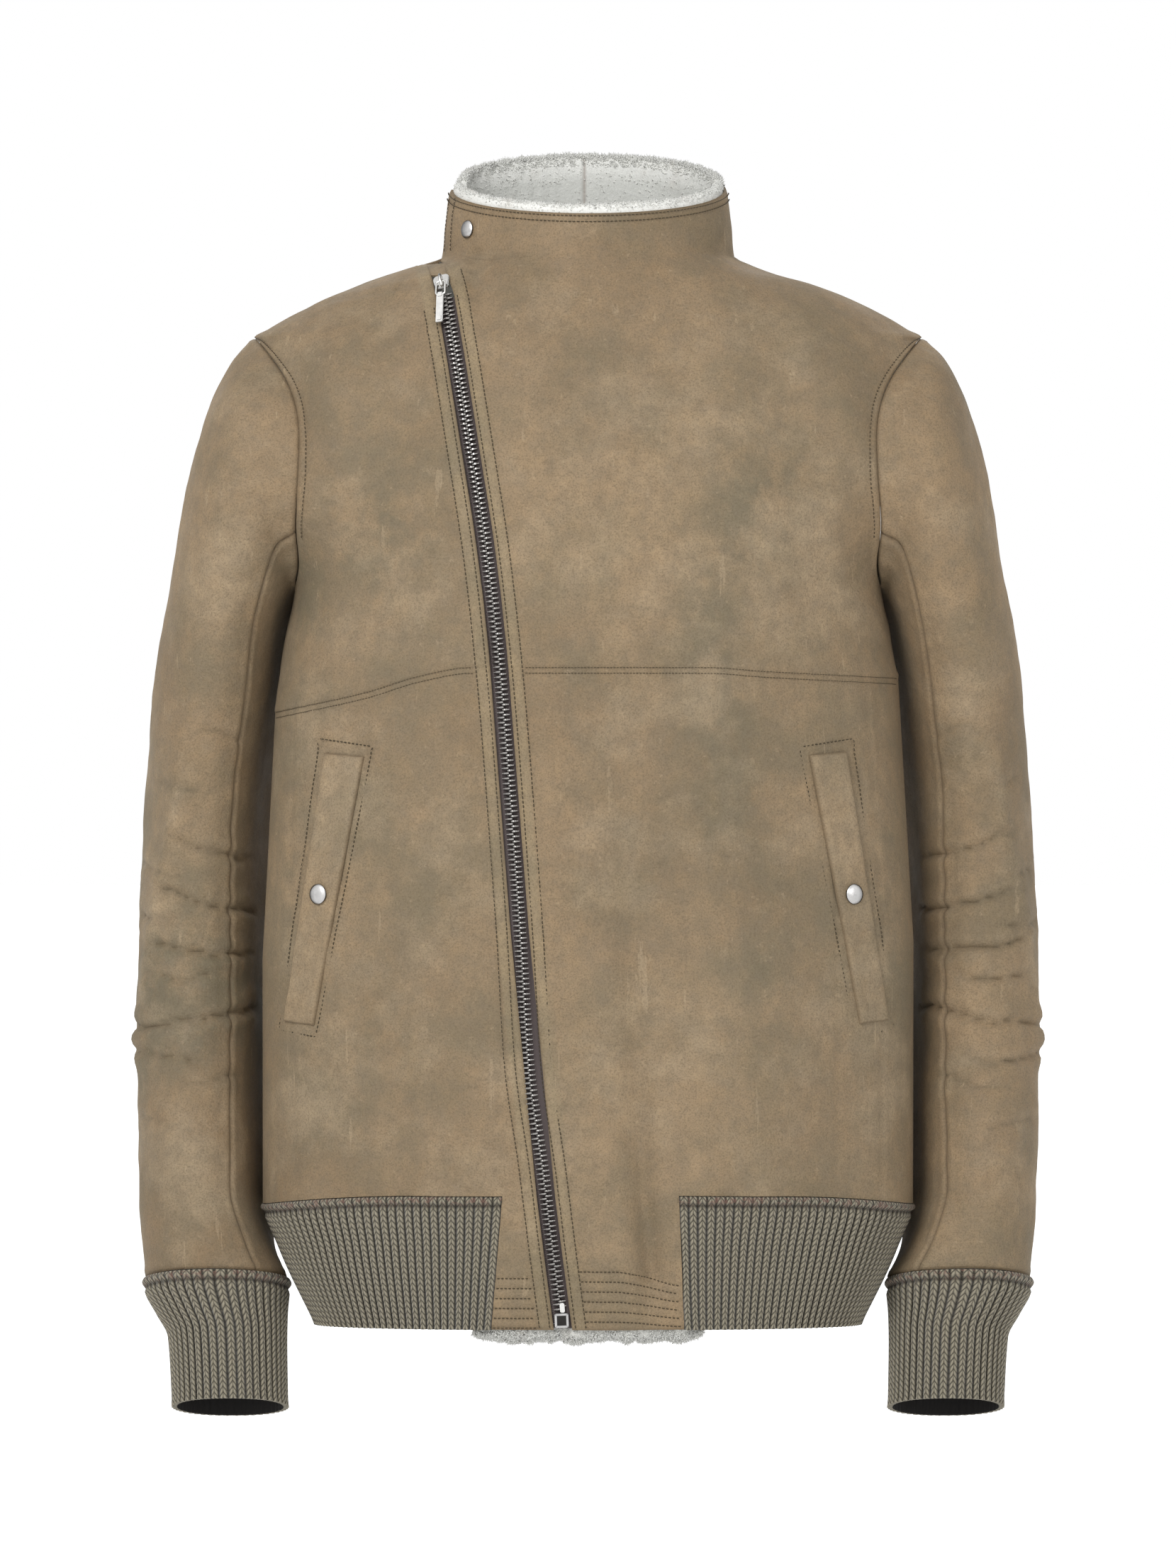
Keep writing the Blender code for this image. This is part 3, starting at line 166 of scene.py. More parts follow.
CHEST_SEAM = (
    (-0.2020, -0.2970),
    (-0.1770, -0.2920),
    (-0.1400, -0.2838),
    (-0.1080, -0.2740),
    (-0.0750, -0.2685),
    (0.0760, -0.2685),
    (0.1150, -0.2710),
    (0.2000, -0.2750),
)
SEAM_RIGHT = -0.2970
SEAM_LEFT = -0.2750
HEM_ROWS = 6
HEM_ROW_TOP = -0.657
HEM_ROW_STEP = 0.0064
BAND_EDGE_RIGHT = (-0.0545, -0.0620)
BAND_EDGE_LEFT = (0.0582, 0.0618)

COLLAR_RIM = 0.0450
COLLAR_TILT = 0.0190
LAP_DROP = 0.0100
LAP_EASE = (0.50, 0.08)
WOOL = 0.0060
WOOL_RISE = 0.0060
COLLAR_COLUMNS = 14
LAP_STEPS = 4

# Rings of the left sleeve: x and z of its outer and of its inner line, half depth, y of its middle and how
# much its front is raised.
SLEEVE_RINGS = (
    (0.2315, -0.0660, 0.1915, -0.2155, 0.0745, -0.001, 0.00),
    (0.2440, -0.0890, 0.1930, -0.2190, 0.0775, 0.001, 0.00),
    (0.2535, -0.1210, 0.1950, -0.2240, 0.0795, 0.003, 0.00),
    (0.2624, -0.1600, 0.1975, -0.2310, 0.0795, 0.006, 0.00),
    (0.2716, -0.2090, 0.2010, -0.2440, 0.0780, 0.010, 0.01),
    (0.2785, -0.2530, 0.2045, -0.2660, 0.0755, 0.015, 0.02),
    (0.2835, -0.2950, 0.2080, -0.2950, 0.0730, 0.019, 0.03),
    (0.2868, -0.3300, 0.2120, -0.3300, 0.0710, 0.022, 0.04),
    (0.2890, -0.3620, 0.2145, -0.3620, 0.0695, 0.024, 0.05),
    (0.2900, -0.3830, 0.2152, -0.3830, 0.0690, 0.025, 0.06),
    (0.2910, -0.4000, 0.2155, -0.4000, 0.0685, 0.025, 0.07),
    (0.2915, -0.4170, 0.2158, -0.4170, 0.0680, 0.025, 0.08),
    (0.2920, -0.4320, 0.2158, -0.4320, 0.0675, 0.024, 0.09),
    (0.2922, -0.4480, 0.2158, -0.4480, 0.0670, 0.023, 0.10),
    (0.2925, -0.4690, 0.2158, -0.4690, 0.0660, 0.021, 0.11),
    (0.2928, -0.4920, 0.2158, -0.4920, 0.0650, 0.018, 0.12),
    (0.2930, -0.5130, 0.2157, -0.5130, 0.0640, 0.015, 0.13),
    (0.2928, -0.5340, 0.2156, -0.5340, 0.0630, 0.012, 0.14),
    (0.2922, -0.5620, 0.2155, -0.5620, 0.0620, 0.008, 0.15),
    (0.2910, -0.5900, 0.2158, -0.5900, 0.0615, 0.004, 0.16),
    (0.2900, -0.6170, 0.2152, -0.6170, 0.0605, -0.001, 0.16),
    (0.2885, -0.6400, 0.2065, -0.6400, 0.0595, -0.005, 0.16),
    (0.2868, -0.6620, 0.1950, -0.6620, 0.0575, -0.008, 0.16),
)
SQUARENESS = 2.15
FRONT_SEAM = math.pi * 0.7
BACK_SEAM = math.pi * 1.3

# Cross creases of the forearm, on the front of the sleeve: x and z of both ends and of the sag in between,
# half width, and depth. The x is that of the left sleeve.
ELBOW_CREASES = (
    (0.2275, -0.3090, 0.2450, -0.3030, 0.0000, 0.0045, 0.0014),
    (0.2245, -0.3870, 0.2670, -0.3750, 0.0020, 0.0035, 0.0022),
    (0.2190, -0.4220, 0.2700, -0.4100, 0.0025, 0.0035, 0.0026),
    (0.2260, -0.4480, 0.2740, -0.4420, 0.0015, 0.0032, 0.0026),
    (0.2455, -0.4640, 0.2810, -0.4640, 0.0030, 0.0034, 0.0022),
    (0.2210, -0.4850, 0.2895, -0.4970, 0.0020, 0.0036, 0.0028),
    (0.2500, -0.5210, 0.2900, -0.5150, 0.0020, 0.0036, 0.0022),
    (0.2300, -0.5300, 0.2620, -0.5370, 0.0010, 0.0040, 0.0014),
    (0.2600, -0.5620, 0.2880, -0.5560, 0.0015, 0.0040, 0.0016),
    (0.2650, -0.4030, 0.2880, -0.3960, 0.0010, 0.0034, 0.0016),
    (0.2680, -0.4310, 0.2900, -0.4290, 0.0010, 0.0032, 0.0018),
    (0.2550, -0.3430, 0.2760, -0.3380, 0.0010, 0.0040, 0.0010),
)

# Rings of the left cuff: outer and inner x, height, half depth, y of its middle, how much its front is
# raised, how far it stands proud, and how much of a rib's height it has.
CUFF_RINGS = (
    (0.2876, 0.1937, -0.6627, 0.0583, -0.008, 0.16, 0.0014, 0.0),
    (0.2868, 0.1942, -0.6690, 0.0570, -0.009, 0.16, 0.0008, 0.4),
    (0.2790, 0.1955, -0.6840, 0.0485, -0.012, 0.17, 0.0, 1.0),
    (0.2712, 0.1958, -0.6990, 0.0425, -0.015, 0.18, 0.0, 1.0),
    (0.2680, 0.1950, -0.7440, 0.0410, -0.024, 0.19, 0.0, 1.0),
)
CUFF_RIBS = 44
HEM_RIBS = 84
RIB_HEIGHT = 0.0013

WELT_THICK = 0.0020
WELT_LIFT = 0.00035
# The welts' corners: x and z, from the upper left, clockwise.
WELT_CORNERS = {
    "right": ((-0.1686, -0.3211), (-0.1433, -0.3234), (-0.1755, -0.4959), (-0.1948, -0.4936)),
    "left": ((0.1414, -0.3225), (0.1654, -0.3202), (0.1925, -0.4927), (0.1741, -0.4950)),
}
# Short seams and the shoulder seam: x and z of both ends.
SHORT_SEAMS = (
    ((0.1557, -0.2884), (0.1732, -0.2921)),
    ((0.1732, -0.2921), (0.1999, -0.2981)),
    ((-0.1760, -0.2944), (-0.1732, -0.3114)),
    ((0.1741, -0.2944), (0.1723, -0.3114)),
    ((-0.1732, -0.0304), (-0.1240, -0.0216)),
    ((-0.1240, -0.0216), (-0.0985, -0.0160)),
)
# The stitched frames round the welts: x and z of the four corners.
POCKET_FRAMES = {
    "right": ((-0.1723, -0.3119), (-0.1378, -0.3169), (-0.1746, -0.5032), (-0.1990, -0.4991)),
    "left": ((0.1355, -0.3174), (0.1700, -0.3119), (0.1971, -0.4986), (0.1714, -0.5032)),
}
SNAP_RADIUS = 0.0065
COLLAR_SNAP_RADIUS = 0.0058
SNAP_PLACES = {"right": (-0.1713, -0.4117), "left": (0.1690, -0.4117), "collar": (-0.0775, 0.0170)}
HEM_WOOL_HALF = 0.0750
HEM_WOOL_TOP = -0.668
HEM_WOOL_DROP = 0.0085

CELL = 0.0022
random = np.random.default_rng(7)


# curves and surfaces


def lookup(values, table, column=1):
    """The table's column at values of its first column, on a smooth curve that never overshoots its rows."""
    rows = np.array(sorted(table), float)
    xs, ys = rows[:, 0], rows[:, column]
    widths = np.diff(xs)
    slopes = np.diff(ys) / widths
    tangents = np.empty(len(xs))
    tangents[0], tangents[-1] = slopes[0], slopes[-1]
    before, after = slopes[:-1], slopes[1:]
    total = np.where(before + after == 0, 1.0, before + after)
    tangents[1:-1] = np.where(before * after <= 0, 0.0, 2 * before * after / total)
    values = np.clip(np.asarray(values, float), xs[0], xs[-1])
    k = np.clip(np.searchsorted(xs, values, side="left") - 1, 0, len(xs) - 2)
    width = widths[k]
    part = (values - xs[k]) / width
    rise = ys[k + 1] - ys[k]
    start, end = tangents[k] * width, tangents[k + 1] * width
    return ys[k] + start * part + (3 * rise - 2 * start - end) * part**2 + (start + end - 2 * rise) * part**3


def mix(a, b, part):
    return a + (b - a) * part


def eased(value, low, high):
    part = np.clip((value - low) / (high - low), 0.0, 1.0)
    return part * part * (3 - 2 * part)


def bump(value, half_width):
    return np.exp(-((value / half_width) ** 2))


def power(value, exponent):
    return np.sign(value) * np.abs(value) ** exponent


def lattice(ix, iy, iz, seed):
    """A repeatable number from -1 to 1 for each lattice point."""
    h = (ix * 374761393 + iy * 668265263 + iz * 2147483647 + seed * 974634777) & 0xFFFFFFFF
    h = ((h ^ (h >> 13)) * 1274126177) & 0xFFFFFFFF
    h = h ^ (h >> 16)
    return (h & 0xFFFFFF) / 0x7FFFFF - 1.0


def noise(points, scale, seed=0, octaves=1):
    """Smooth value noise over points, with features of about 1/scale metres."""
    total = np.zeros(points.shape[:-1])
    size, weight = scale, 1.0
    for octave in range(octaves):
        at = points * size + 100.0
        cell = np.floor(at).astype(np.int64)
        part = at - cell
        part = part * part * (3 - 2 * part)
        value = 0.0
        for dx in (0, 1):
            for dy in (0, 1):
                for dz in (0, 1):
                    weightings = (
                        (part[..., 0] if dx else 1 - part[..., 0])
                        * (part[..., 1] if dy else 1 - part[..., 1])
                        * (part[..., 2] if dz else 1 - part[..., 2])
                    )
                    value = value + weightings * lattice(
                        cell[..., 0] + dx, cell[..., 1] + dy, cell[..., 2] + dz, seed + octave
                    )
        total += value * weight
        size, weight = size * 2.0, weight * 0.5
    return total


def body_oval(turn, height):
    turn, height = np.broadcast_arrays(np.asarray(turn, float), np.asarray(height, float))
    half_width, front, back, middle_y, square = (
        lookup(height, BODY_SECTIONS, column) for column in range(1, 6))
    x = half_width * power(np.sin(turn), 2 / square)
    reach = power(np.cos(turn), 2 / square)
    return np.stack((x, middle_y - np.where(reach > 0, front, back) * reach, height), -1)


def unit(vectors):
    return vectors / np.maximum(np.linalg.norm(vectors, axis=-1, keepdims=True), 1e-12)


def run_length(points):
    """The distance of each of a row of points from the first, along the row."""
    return np.concatenate(([0.0], np.cumsum(np.linalg.norm(np.diff(points, axis=0), axis=1))))


def body_normal(turn, height):
    across = body_oval(turn + STEP, height) - body_oval(turn - STEP, height)
    up = body_oval(turn, height + STEP) - body_oval(turn, height - STEP)
    return unit(np.cross(across, up))


def folds(points, table):
    """How far the folds in a table stand out at points."""
    total = np.zeros(points.shape[:-1])
    for side, rows in table.items():
        here = (points[..., 1] < 0) == (side == "front")
        for start_x, start_z, end_x, end_z, half_width, height in rows:
            away = line_distance(points[..., 0], points[..., 2], (start_x, start_z), (end_x, end_z))
            total += np.where(here, height * bump(away, half_width), 0.0)
    return total


def line_distance(x, z, start, end):
    """Distance from a straight line between two (x, z) points."""
    line_x, line_z = end[0] - start[0], end[1] - start[1]
    along = ((x - start[0]) * line_x + (z - start[1]) * line_z) / (line_x**2 + line_z**2)
    held = np.clip(along, 0.0, 1.0)
    return np.hypot(x - start[0] - held * line_x, z - start[1] - held * line_z)


def groove(away, depth, half_width, swell, aside, spread):
    """The dip of a stitched line, with the leather swelling beside it."""
    return swell * bump(away - aside, spread) - depth * bump(away, half_width)


def armhole_edge(height, depth):
    """How far in front of the side line the armhole's edge is, in y."""
    middle = (ARMHOLE_TOP + ARMHOLE_BOTTOM) / 2
    half = (ARMHOLE_TOP - ARMHOLE_BOTTOM) / 2
    return ARMHOLE_DEPTH * np.sqrt(np.maximum(0.0, 1 - ((height - middle) / half) ** 2)) / depth


def relief(points):
    """How far the leather's topstitched and creased surface stands out of the smooth folded body."""
    x, y, z = points[..., 0], points[..., 1], points[..., 2]
    front = y < 0
    total = folds(points, FINE_FOLDS)
    total += 0.0011 * noise(points, 16, 3, 2) + 0.0004 * noise(points, 55, 9, 2)

    # The two stitched rows beside the zip, with the turned leather raised between them.
    beside = np.abs(x - lookup(z, ZIP_LINE)) - ZIP_GAP / 2
    on_strip = front & (z < -0.006)
    strip = eased(beside, FAR_ROW + 0.0022, FAR_ROW) * 0.0009
    strip -= 0.0007 * bump(beside - NEAR_ROW, 0.0009) + 0.0008 * bump(beside - FAR_ROW, 0.0010)
    pucker = (np.sin(z * 2 * math.pi / 0.0085 + 3 * noise(points, 60, 21))
              * bump(beside - FAR_ROW - 0.002, 0.004))
    total += np.where(on_strip & (beside > -0.004), strip + 0.00030 * pucker, 0.0)

    # The chest seam: a stitched ridge on each side of the joint.
    off_seam = z - lookup(x, CHEST_SEAM)
    ridge = 0.0007 * bump(off_seam - 0.0035, 0.0030) - 0.0006 * bump(off_seam - 0.0018, 0.0008)
    ridge -= 0.0005 * bump(off_seam + 0.0018, 0.0008)
    wave = 0.00035 * np.sin(x * 2 * math.pi / 0.0105 + 3 * noise(points, 45, 5)) * bump(off_seam, 0.008)
    total += np.where(front, ridge + wave, 0.0)

    for start, end in SHORT_SEAMS:
        away = line_distance(x, z, start, end)
        total += np.where(front, groove(away, 0.0010, 0.0009, 0.0006, 0.0030, 0.0020), 0.0)

    # The pockets' stitched frames.
    for corners in POCKET_FRAMES.values():
        for k in range(4):
            away = line_distance(x, z, corners[k], corners[(k + 1) % 4])
            total += np.where(front, groove(away, 0.0008, 0.0011, 0.0005, 0.0035, 0.0030), 0.0)

    # The stitched rows across the hem beside the zip.
    in_hem = front & (z < -0.640) & (x > band_x(-1, z)) & (x < band_x(1, z))
    for k in range(HEM_ROWS):
        away = z - hem_row_height(k, x)
        total += np.where(in_hem, groove(away, 0.0006, 0.0010, 0.0004, 0.0031, 0.0018), 0.0)
    return total


def band_x(side, height):
    top_x, hem_x = BAND_EDGE_LEFT if side > 0 else BAND_EDGE_RIGHT
    return mix(top_x, hem_x, np.clip((RIB_TOP - height) / (RIB_TOP - HEM), 0, 1))


def hem_row_height(k, x):
    """The height of one stitched row of the hem. On the flap's side it waves down past the deep fold."""
    base = HEM_ROW_TOP - HEM_ROW_STEP * k
    left = x > lookup(-0.665, ZIP_LINE)
    return base + np.where(left, 0.0045 - (0.0095 - 0.0012 * k) * eased(x, 0.016, 0.062), 0.0)


def surface(turn, height, inset=0.0, detailed=True):
    """Points of the folded body, moved in by inset, with the leather's relief on the outside."""
    smooth = body_oval(turn, height)
    out = folds(smooth, BODY_FOLDS) - inset
    if detailed:
        out = out + relief(smooth)
    return smooth + body_normal(turn, height) * out[..., None]


def turn_at(x, height):
    half_width = lookup(height, BODY_SECTIONS, 1)
    square = lookup(height, BODY_SECTIONS, 5)
    return np.arcsin(np.clip(power(np.asarray(x, float) / half_width, square / 2), -1.0, 1.0))


def shared(start, end, height, parts):
    """Turns that share out a section's length between two turns."""
    turns = np.linspace(start, end, 65)
    lengths = run_length(body_oval(turns, height))
    return np.interp(np.asarray(parts) * lengths[-1], lengths, turns)


def collar_rim(turn):
    return COLLAR_RIM - COLLAR_TILT * np.cos(turn)


def outer_turn(height, side, back=False):
    turn = SIDE
    if ARMHOLE_BOTTOM < height < ARMHOLE_TOP:
        depth = float(lookup(height, BODY_SECTIONS, 3 if back else 2))
        square = float(lookup(height, BODY_SECTIONS, 5))
        turn = math.acos(min(1.0, float(armhole_edge(height, depth)) ** (square / 2)))
    return side * (math.pi - turn if back else turn)


def zip_edge(side, height):
    if side > 0 and height > FLAP_EDGE[-1][0]:
        return float(lookup(height, FLAP_EDGE))
    return float(lookup(height, ZIP_LINE)) + side * ZIP_GAP / 2


def stations(length, cell, start_edge=True, end_edge=True):
    """Parts from 0 to 1 along a length, with close steps beside an edge."""
    close = np.array([0.0, 0.0004, 0.0010, 0.0018])
    start = close if start_edge else close[:1]
    end = length - (close if end_edge else close[:1])[::-1]
    count = max(2, int(round((end[0] - start[-1]) / cell)))
    middle = np.linspace(start[-1], end[0], count + 1)[1:-1]
    return np.concatenate((start, middle, end)) / length


# meshes


EDGES = ("start", "end", "bottom", "top")
EDGE_DEPTH = 0.0009
EDGE_REACH = 0.0013
EDGE_SHADE = 0.0011


def edge_distances(points):
    """Distances of each grid point from the grid's four edges, by edge."""
    across = np.cumsum(np.linalg.norm(np.diff(points, axis=1, prepend=points[:, :1]), axis=2), 1)
    up = np.cumsum(np.linalg.norm(np.diff(points, axis=0, prepend=points[:1]), axis=2), 0)
    return dict(zip(EDGES, (across, across[:, -1:] - across, up, up[-1:] - up)))


def turned_in(away, seams):
    """How far the leather turns in at the named edges, and the painted shade there."""
    dip = np.min([-EDGE_DEPTH * bump(away[seam], EDGE_REACH) for seam in seams], axis=0)
    return dip, np.max([bump(away[seam], EDGE_SHADE) for seam in seams], axis=0)


# The colour attributes: olive tone, painted shade with worn patches, painted highlight with rubbed wear, the
# paler strips beside the zip, and painted shade along turned-in edges.
TONES = ("olive", "dark", "pale", "strip", "edge")


def tones(shape, **amounts):
    """The colour attributes of a suede mesh, which are 0 where nothing is given."""
    return {key: amounts.get(key, 0.0) + np.zeros(shape) for key in TONES}


def grid_normals(points):
    return unit(np.cross(np.gradient(points, axis=1), np.gradient(points, axis=0)))


def add_mesh(name, points, faces, materials, smooth=True, face_materials=None, attributes=None, uvs=None):
    mesh = bpy.data.meshes.new(name)
    mesh.from_pydata(points.tolist() if isinstance(points, np.ndarray) else points, [], faces)
    for material in materials:
        mesh.materials.append(material)
    if face_materials is not None:
        mesh.polygons.foreach_set("material_index", face_materials)
    for key, values in (attributes or {}).items():
        layer = mesh.attributes.new(key, "FLOAT", "POINT")
        layer.data.foreach_set("value", np.asarray(values, np.float32).ravel())
    if uvs is not None:
        layer = mesh.uv_layers.new(name="UVMap")
        corner = np.empty(len(mesh.loops), np.int32)
        mesh.loops.foreach_get("vertex_index", corner)
        layer.data.foreach_set("uv", np.asarray(uvs, np.float32)[corner].ravel())
    mesh.validate()
    if smooth:
        mesh.shade_smooth()
    made = bpy.data.objects.new(name, mesh)
    bpy.context.scene.collection.objects.link(made)
    return made


def clean(mesh):
    """Drops loose points and turns a mesh's faces outward."""
    tidy = bmesh.new()
    tidy.from_mesh(mesh)
    bmesh.ops.delete(tidy, geom=[corner for corner in tidy.verts if not corner.link_faces], context="VERTS")
    bmesh.ops.recalc_face_normals(tidy, faces=tidy.faces)
    tidy.to_mesh(mesh)
    tidy.free()


def wall(name, outer, inner, materials, keep=None, attributes=None, closed=False, uvs=None):
    """A closed wall between two grids of one size. Its inner face takes the second material."""
    rows, columns = outer.shape[:2]
    inside = rows * columns
    row, column = np.meshgrid(
        np.arange(rows - 1), np.arange(columns if closed else columns - 1), indexing="ij")
    there = np.ones(row.shape, bool) if keep is None else keep(row, column)
    row, column = row[there], column[there]
    after = (column + 1) % columns
    a, b = row * columns + column, row * columns + after
    c, d = (row + 1) * columns + after, (row + 1) * columns + column
    front = np.stack((a, b, c, d), 1)
    back = front[:, ::-1] + inside
    edges = np.concatenate([front[:, [k, (k + 1) % 4]] for k in range(4)])
    keys = set(map(tuple, edges.tolist()))
    rim = [(q, p) for p, q in keys if (q, p) not in keys]
    sides = [(p, q, inside + q, inside + p) for p, q in rim]
    faces = front.tolist() + back.tolist() + sides
    kinds = [0] * len(front) + [1] * len(back) + [0] * len(sides)
    points = np.concatenate((outer.reshape(-1, 3), inner.reshape(-1, 3)))
    doubled = {key: np.tile(value.ravel(), 2) for key, value in (attributes or {}).items()}
    made = add_mesh(name, points, faces, materials, True, kinds, doubled,
                    None if uvs is None else np.concatenate((uvs.reshape(-1, 2), uvs.reshape(-1, 2))))
    made.data.set_sharp_from_angle(angle=math.radians(60))
    clean(made.data)
    return made


# colour zones of the suede

# Greyer and greener areas of each side: x, z, half widths and how strong.
OLIVE_ZONES = {
    "front": (
        (-0.135, -0.185, 0.045, 0.050, 0.75), (-0.185, -0.215, 0.022, 0.050, 0.70),
        (0.112, -0.165, 0.040, 0.050, 0.80), (0.078, -0.255, 0.026, 0.080, 0.75),
        (0.085, -0.345, 0.032, 0.090, 0.65), (0.030, -0.375, 0.048, 0.060, 0.45),
        (-0.190, -0.380, 0.030, 0.110, 0.80), (-0.120, -0.320, 0.050, 0.055, 0.60),
        (-0.125, -0.480, 0.050, 0.080, 0.45), (-0.170, -0.560, 0.060, 0.040, 0.40),
        (0.130, -0.550, 0.055, 0.050, 0.65), (0.112, -0.480, 0.020, 0.090, 0.70),
        (0.170, -0.380, 0.026, 0.110, 0.70), (0.200, -0.440, 0.020, 0.120, 0.60),
    ),
    "back": (
        (0.120, -0.220, 0.060, 0.080, 0.60), (-0.100, -0.360, 0.070, 0.080, 0.60),
        (0.050, -0.480, 0.080, 0.070, 0.55), (-0.150, -0.540, 0.050, 0.060, 0.60),
        (0.000, -0.120, 0.080, 0.040, 0.30),
    ),
}
# Darker areas: painted shade along creases, by the armpits and in the deep fold at the hem, and worn patches
# elsewhere: the same columns.
SHADE_AND_WEAR_ZONES = {
    "front": (
        (-0.172, -0.120, 0.012, 0.070, 0.55), (0.172, -0.115, 0.012, 0.070, 0.50),
        (0.090, -0.300, 0.014, 0.080, 0.40), (0.103, -0.480, 0.011, 0.080, 0.55),
        (0.117, -0.560, 0.020, 0.030, 0.45), (0.000, -0.100, 0.050, 0.045, 0.22),
        (0.120, -0.060, 0.040, 0.030, 0.25), (-0.120, -0.060, 0.040, 0.026, 0.20),
        (-0.195, -0.260, 0.012, 0.060, 0.45), (0.195, -0.240, 0.012, 0.060, 0.40),
        (0.040, -0.625, 0.009, 0.035, 0.55), (-0.073, -0.018, 0.005, 0.020, 0.45),
        (0.062, -0.420, 0.030, 0.050, 0.22),
    ),
    "back": (
        (0.100, -0.300, 0.020, 0.100, 0.35), (-0.090, -0.480, 0.018, 0.090, 0.35),
        (0.000, -0.070, 0.060, 0.030, 0.20),
    ),
}
# Paler areas: rubbed wear, and painted highlight where they lie along ridges: the same columns.
HIGHLIGHT_AND_WEAR_ZONES = {
    "front": (
        (0.030, -0.120, 0.060, 0.050, 0.40), (0.040, -0.210, 0.050, 0.035, 0.45),
        (-0.165, -0.420, 0.018, 0.090, 0.50), (0.182, -0.420, 0.018, 0.090, 0.50),
        (0.075, -0.520, 0.022, 0.070, 0.40), (0.000, -0.520, 0.050, 0.080, 0.25),
        (-0.090, -0.560, 0.030, 0.040, 0.25), (-0.150, -0.240, 0.050, 0.020, 0.35),
        (0.000, 0.020, 0.060, 0.016, 0.15),
    ),
    "back": (
        (0.000, -0.240, 0.090, 0.050, 0.35), (-0.060, -0.560, 0.060, 0.030, 0.30),
    ),
}


def zone(points, table):
    total = np.zeros(points.shape[:-1])
    for side, rows in table.items():
        here = (points[..., 1] < 0) == (side == "front")
        for x, z, half_x, half_z, amount in rows:
            spot = amount * bump(points[..., 0] - x, half_x) * bump(points[..., 2] - z, half_z)
            total = np.maximum(total, np.where(here, spot, 0.0))
    return total


def strip_zone(points):
    """The paler leather of the turned strips beside the zip."""
    beside = np.abs(points[..., 0] - lookup(points[..., 2], ZIP_LINE)) - ZIP_GAP / 2
    on = (points[..., 1] < 0) & (points[..., 2] < -0.004)
    return np.where(on, eased(beside, FAR_ROW + 0.001, FAR_ROW - 0.001), 0.0)


# materials


class Nodes:
    """Short ways to add and join shader nodes."""

    def __init__(self, name):
        self.material = bpy.data.materials.new(name)
        self.material.use_nodes = True
        self.tree = self.material.node_tree
        self.shader = self.tree.nodes["Principled BSDF"]
        self.coordinates = self.tree.nodes.new("ShaderNodeTexCoord")

    def add(self, kind, **settings):
        made = self.tree.nodes.new(kind)
        for key, value in settings.items():
            setattr(made, key, value)
        return made

    def join(self, source, target):
        self.tree.links.new(source, target)

    def feed(self, socket, value):
        if isinstance(value, bpy.types.NodeSocket):
            self.join(value, socket)
        else:
            socket.default_value = value

    def math(self, operation, a, b=0.0, clamp=False):
        made = self.add("ShaderNodeMath", operation=operation, use_clamp=clamp)
        self.feed(made.inputs[0], a)
        self.feed(made.inputs[1], b)
        return made.outputs[0]

    def blend(self, part, a, b):
        made = self.add("ShaderNodeMix", data_type="RGBA")
        self.feed(made.inputs[0], part)
        for socket, value in ((made.inputs[6], a), (made.inputs[7], b)):
            self.feed(socket, (*value, 1.0) if isinstance(value, tuple) else value)
        return made.outputs[2]

    def tint(self, colour, part, amount, towards):
        """The colour, moved towards another by a part times an amount."""
        return self.blend(self.math("MULTIPLY", part, amount, True), colour, towards)

    def set(self, name, value):
        self.feed(self.shader.inputs[name], value)

    def noise(self, scale, detail=3.0, roughness=0.5, stretch=None, turn=None):
        made = self.add("ShaderNodeTexNoise")
        made.inputs["Scale"].default_value = scale
        made.inputs["Detail"].default_value = detail
        made.inputs["Roughness"].default_value = roughness
        source = self.coordinates.outputs["Object"]
        if stretch:
            placed = self.add("ShaderNodeMapping")
            placed.inputs["Scale"].default_value = stretch
            placed.inputs["Rotation"].default_value = turn or (0.0, 0.0, 0.0)
            self.join(source, placed.inputs["Vector"])
            source = placed.outputs["Vector"]
        self.join(source, made.inputs["Vector"])
        return made.outputs["Fac"]

    def cells(self, scale, feature="F1"):
        made = self.add("ShaderNodeTexVoronoi", feature=feature)
        made.inputs["Scale"].default_value = scale
        self.join(self.coordinates.outputs["Object"], made.inputs["Vector"])
        return made.outputs["Distance"]

    def steps(self, value, *stops):
        made = self.add("ShaderNodeValToRGB")
        ramp = made.color_ramp
        while len(ramp.elements) < len(stops):
            ramp.elements.new(0.5)
        for element, (place, level) in zip(ramp.elements, stops):
            element.position = place
            element.color = (level, level, level, 1.0)
        self.join(value, made.inputs["Fac"])
        return made.outputs["Color"]

    def attribute(self, name):
        return self.add("ShaderNodeAttribute", attribute_name=name).outputs["Fac"]

    def relief(self, *layers):
        """Bump layers of (height, strength, distance in metres), one on another."""
        normal = None
        for height, strength, distance in layers:
            made = self.add("ShaderNodeBump")
            made.inputs["Strength"].default_value = strength
            made.inputs["Distance"].default_value = distance
            self.join(height, made.inputs["Height"])
            if normal is not None:
                self.join(normal, made.inputs["Normal"])
            normal = made.outputs["Normal"]
        self.join(normal, self.shader.inputs["Normal"])


TAN = (0.392, 0.277, 0.160)
BROWN = (0.235, 0.158, 0.086)
OLIVE = (0.158, 0.143, 0.092)
PALE = (0.490, 0.375, 0.240)
STRIP = (0.385, 0.305, 0.182)
GREY = (0.185, 0.150, 0.105)


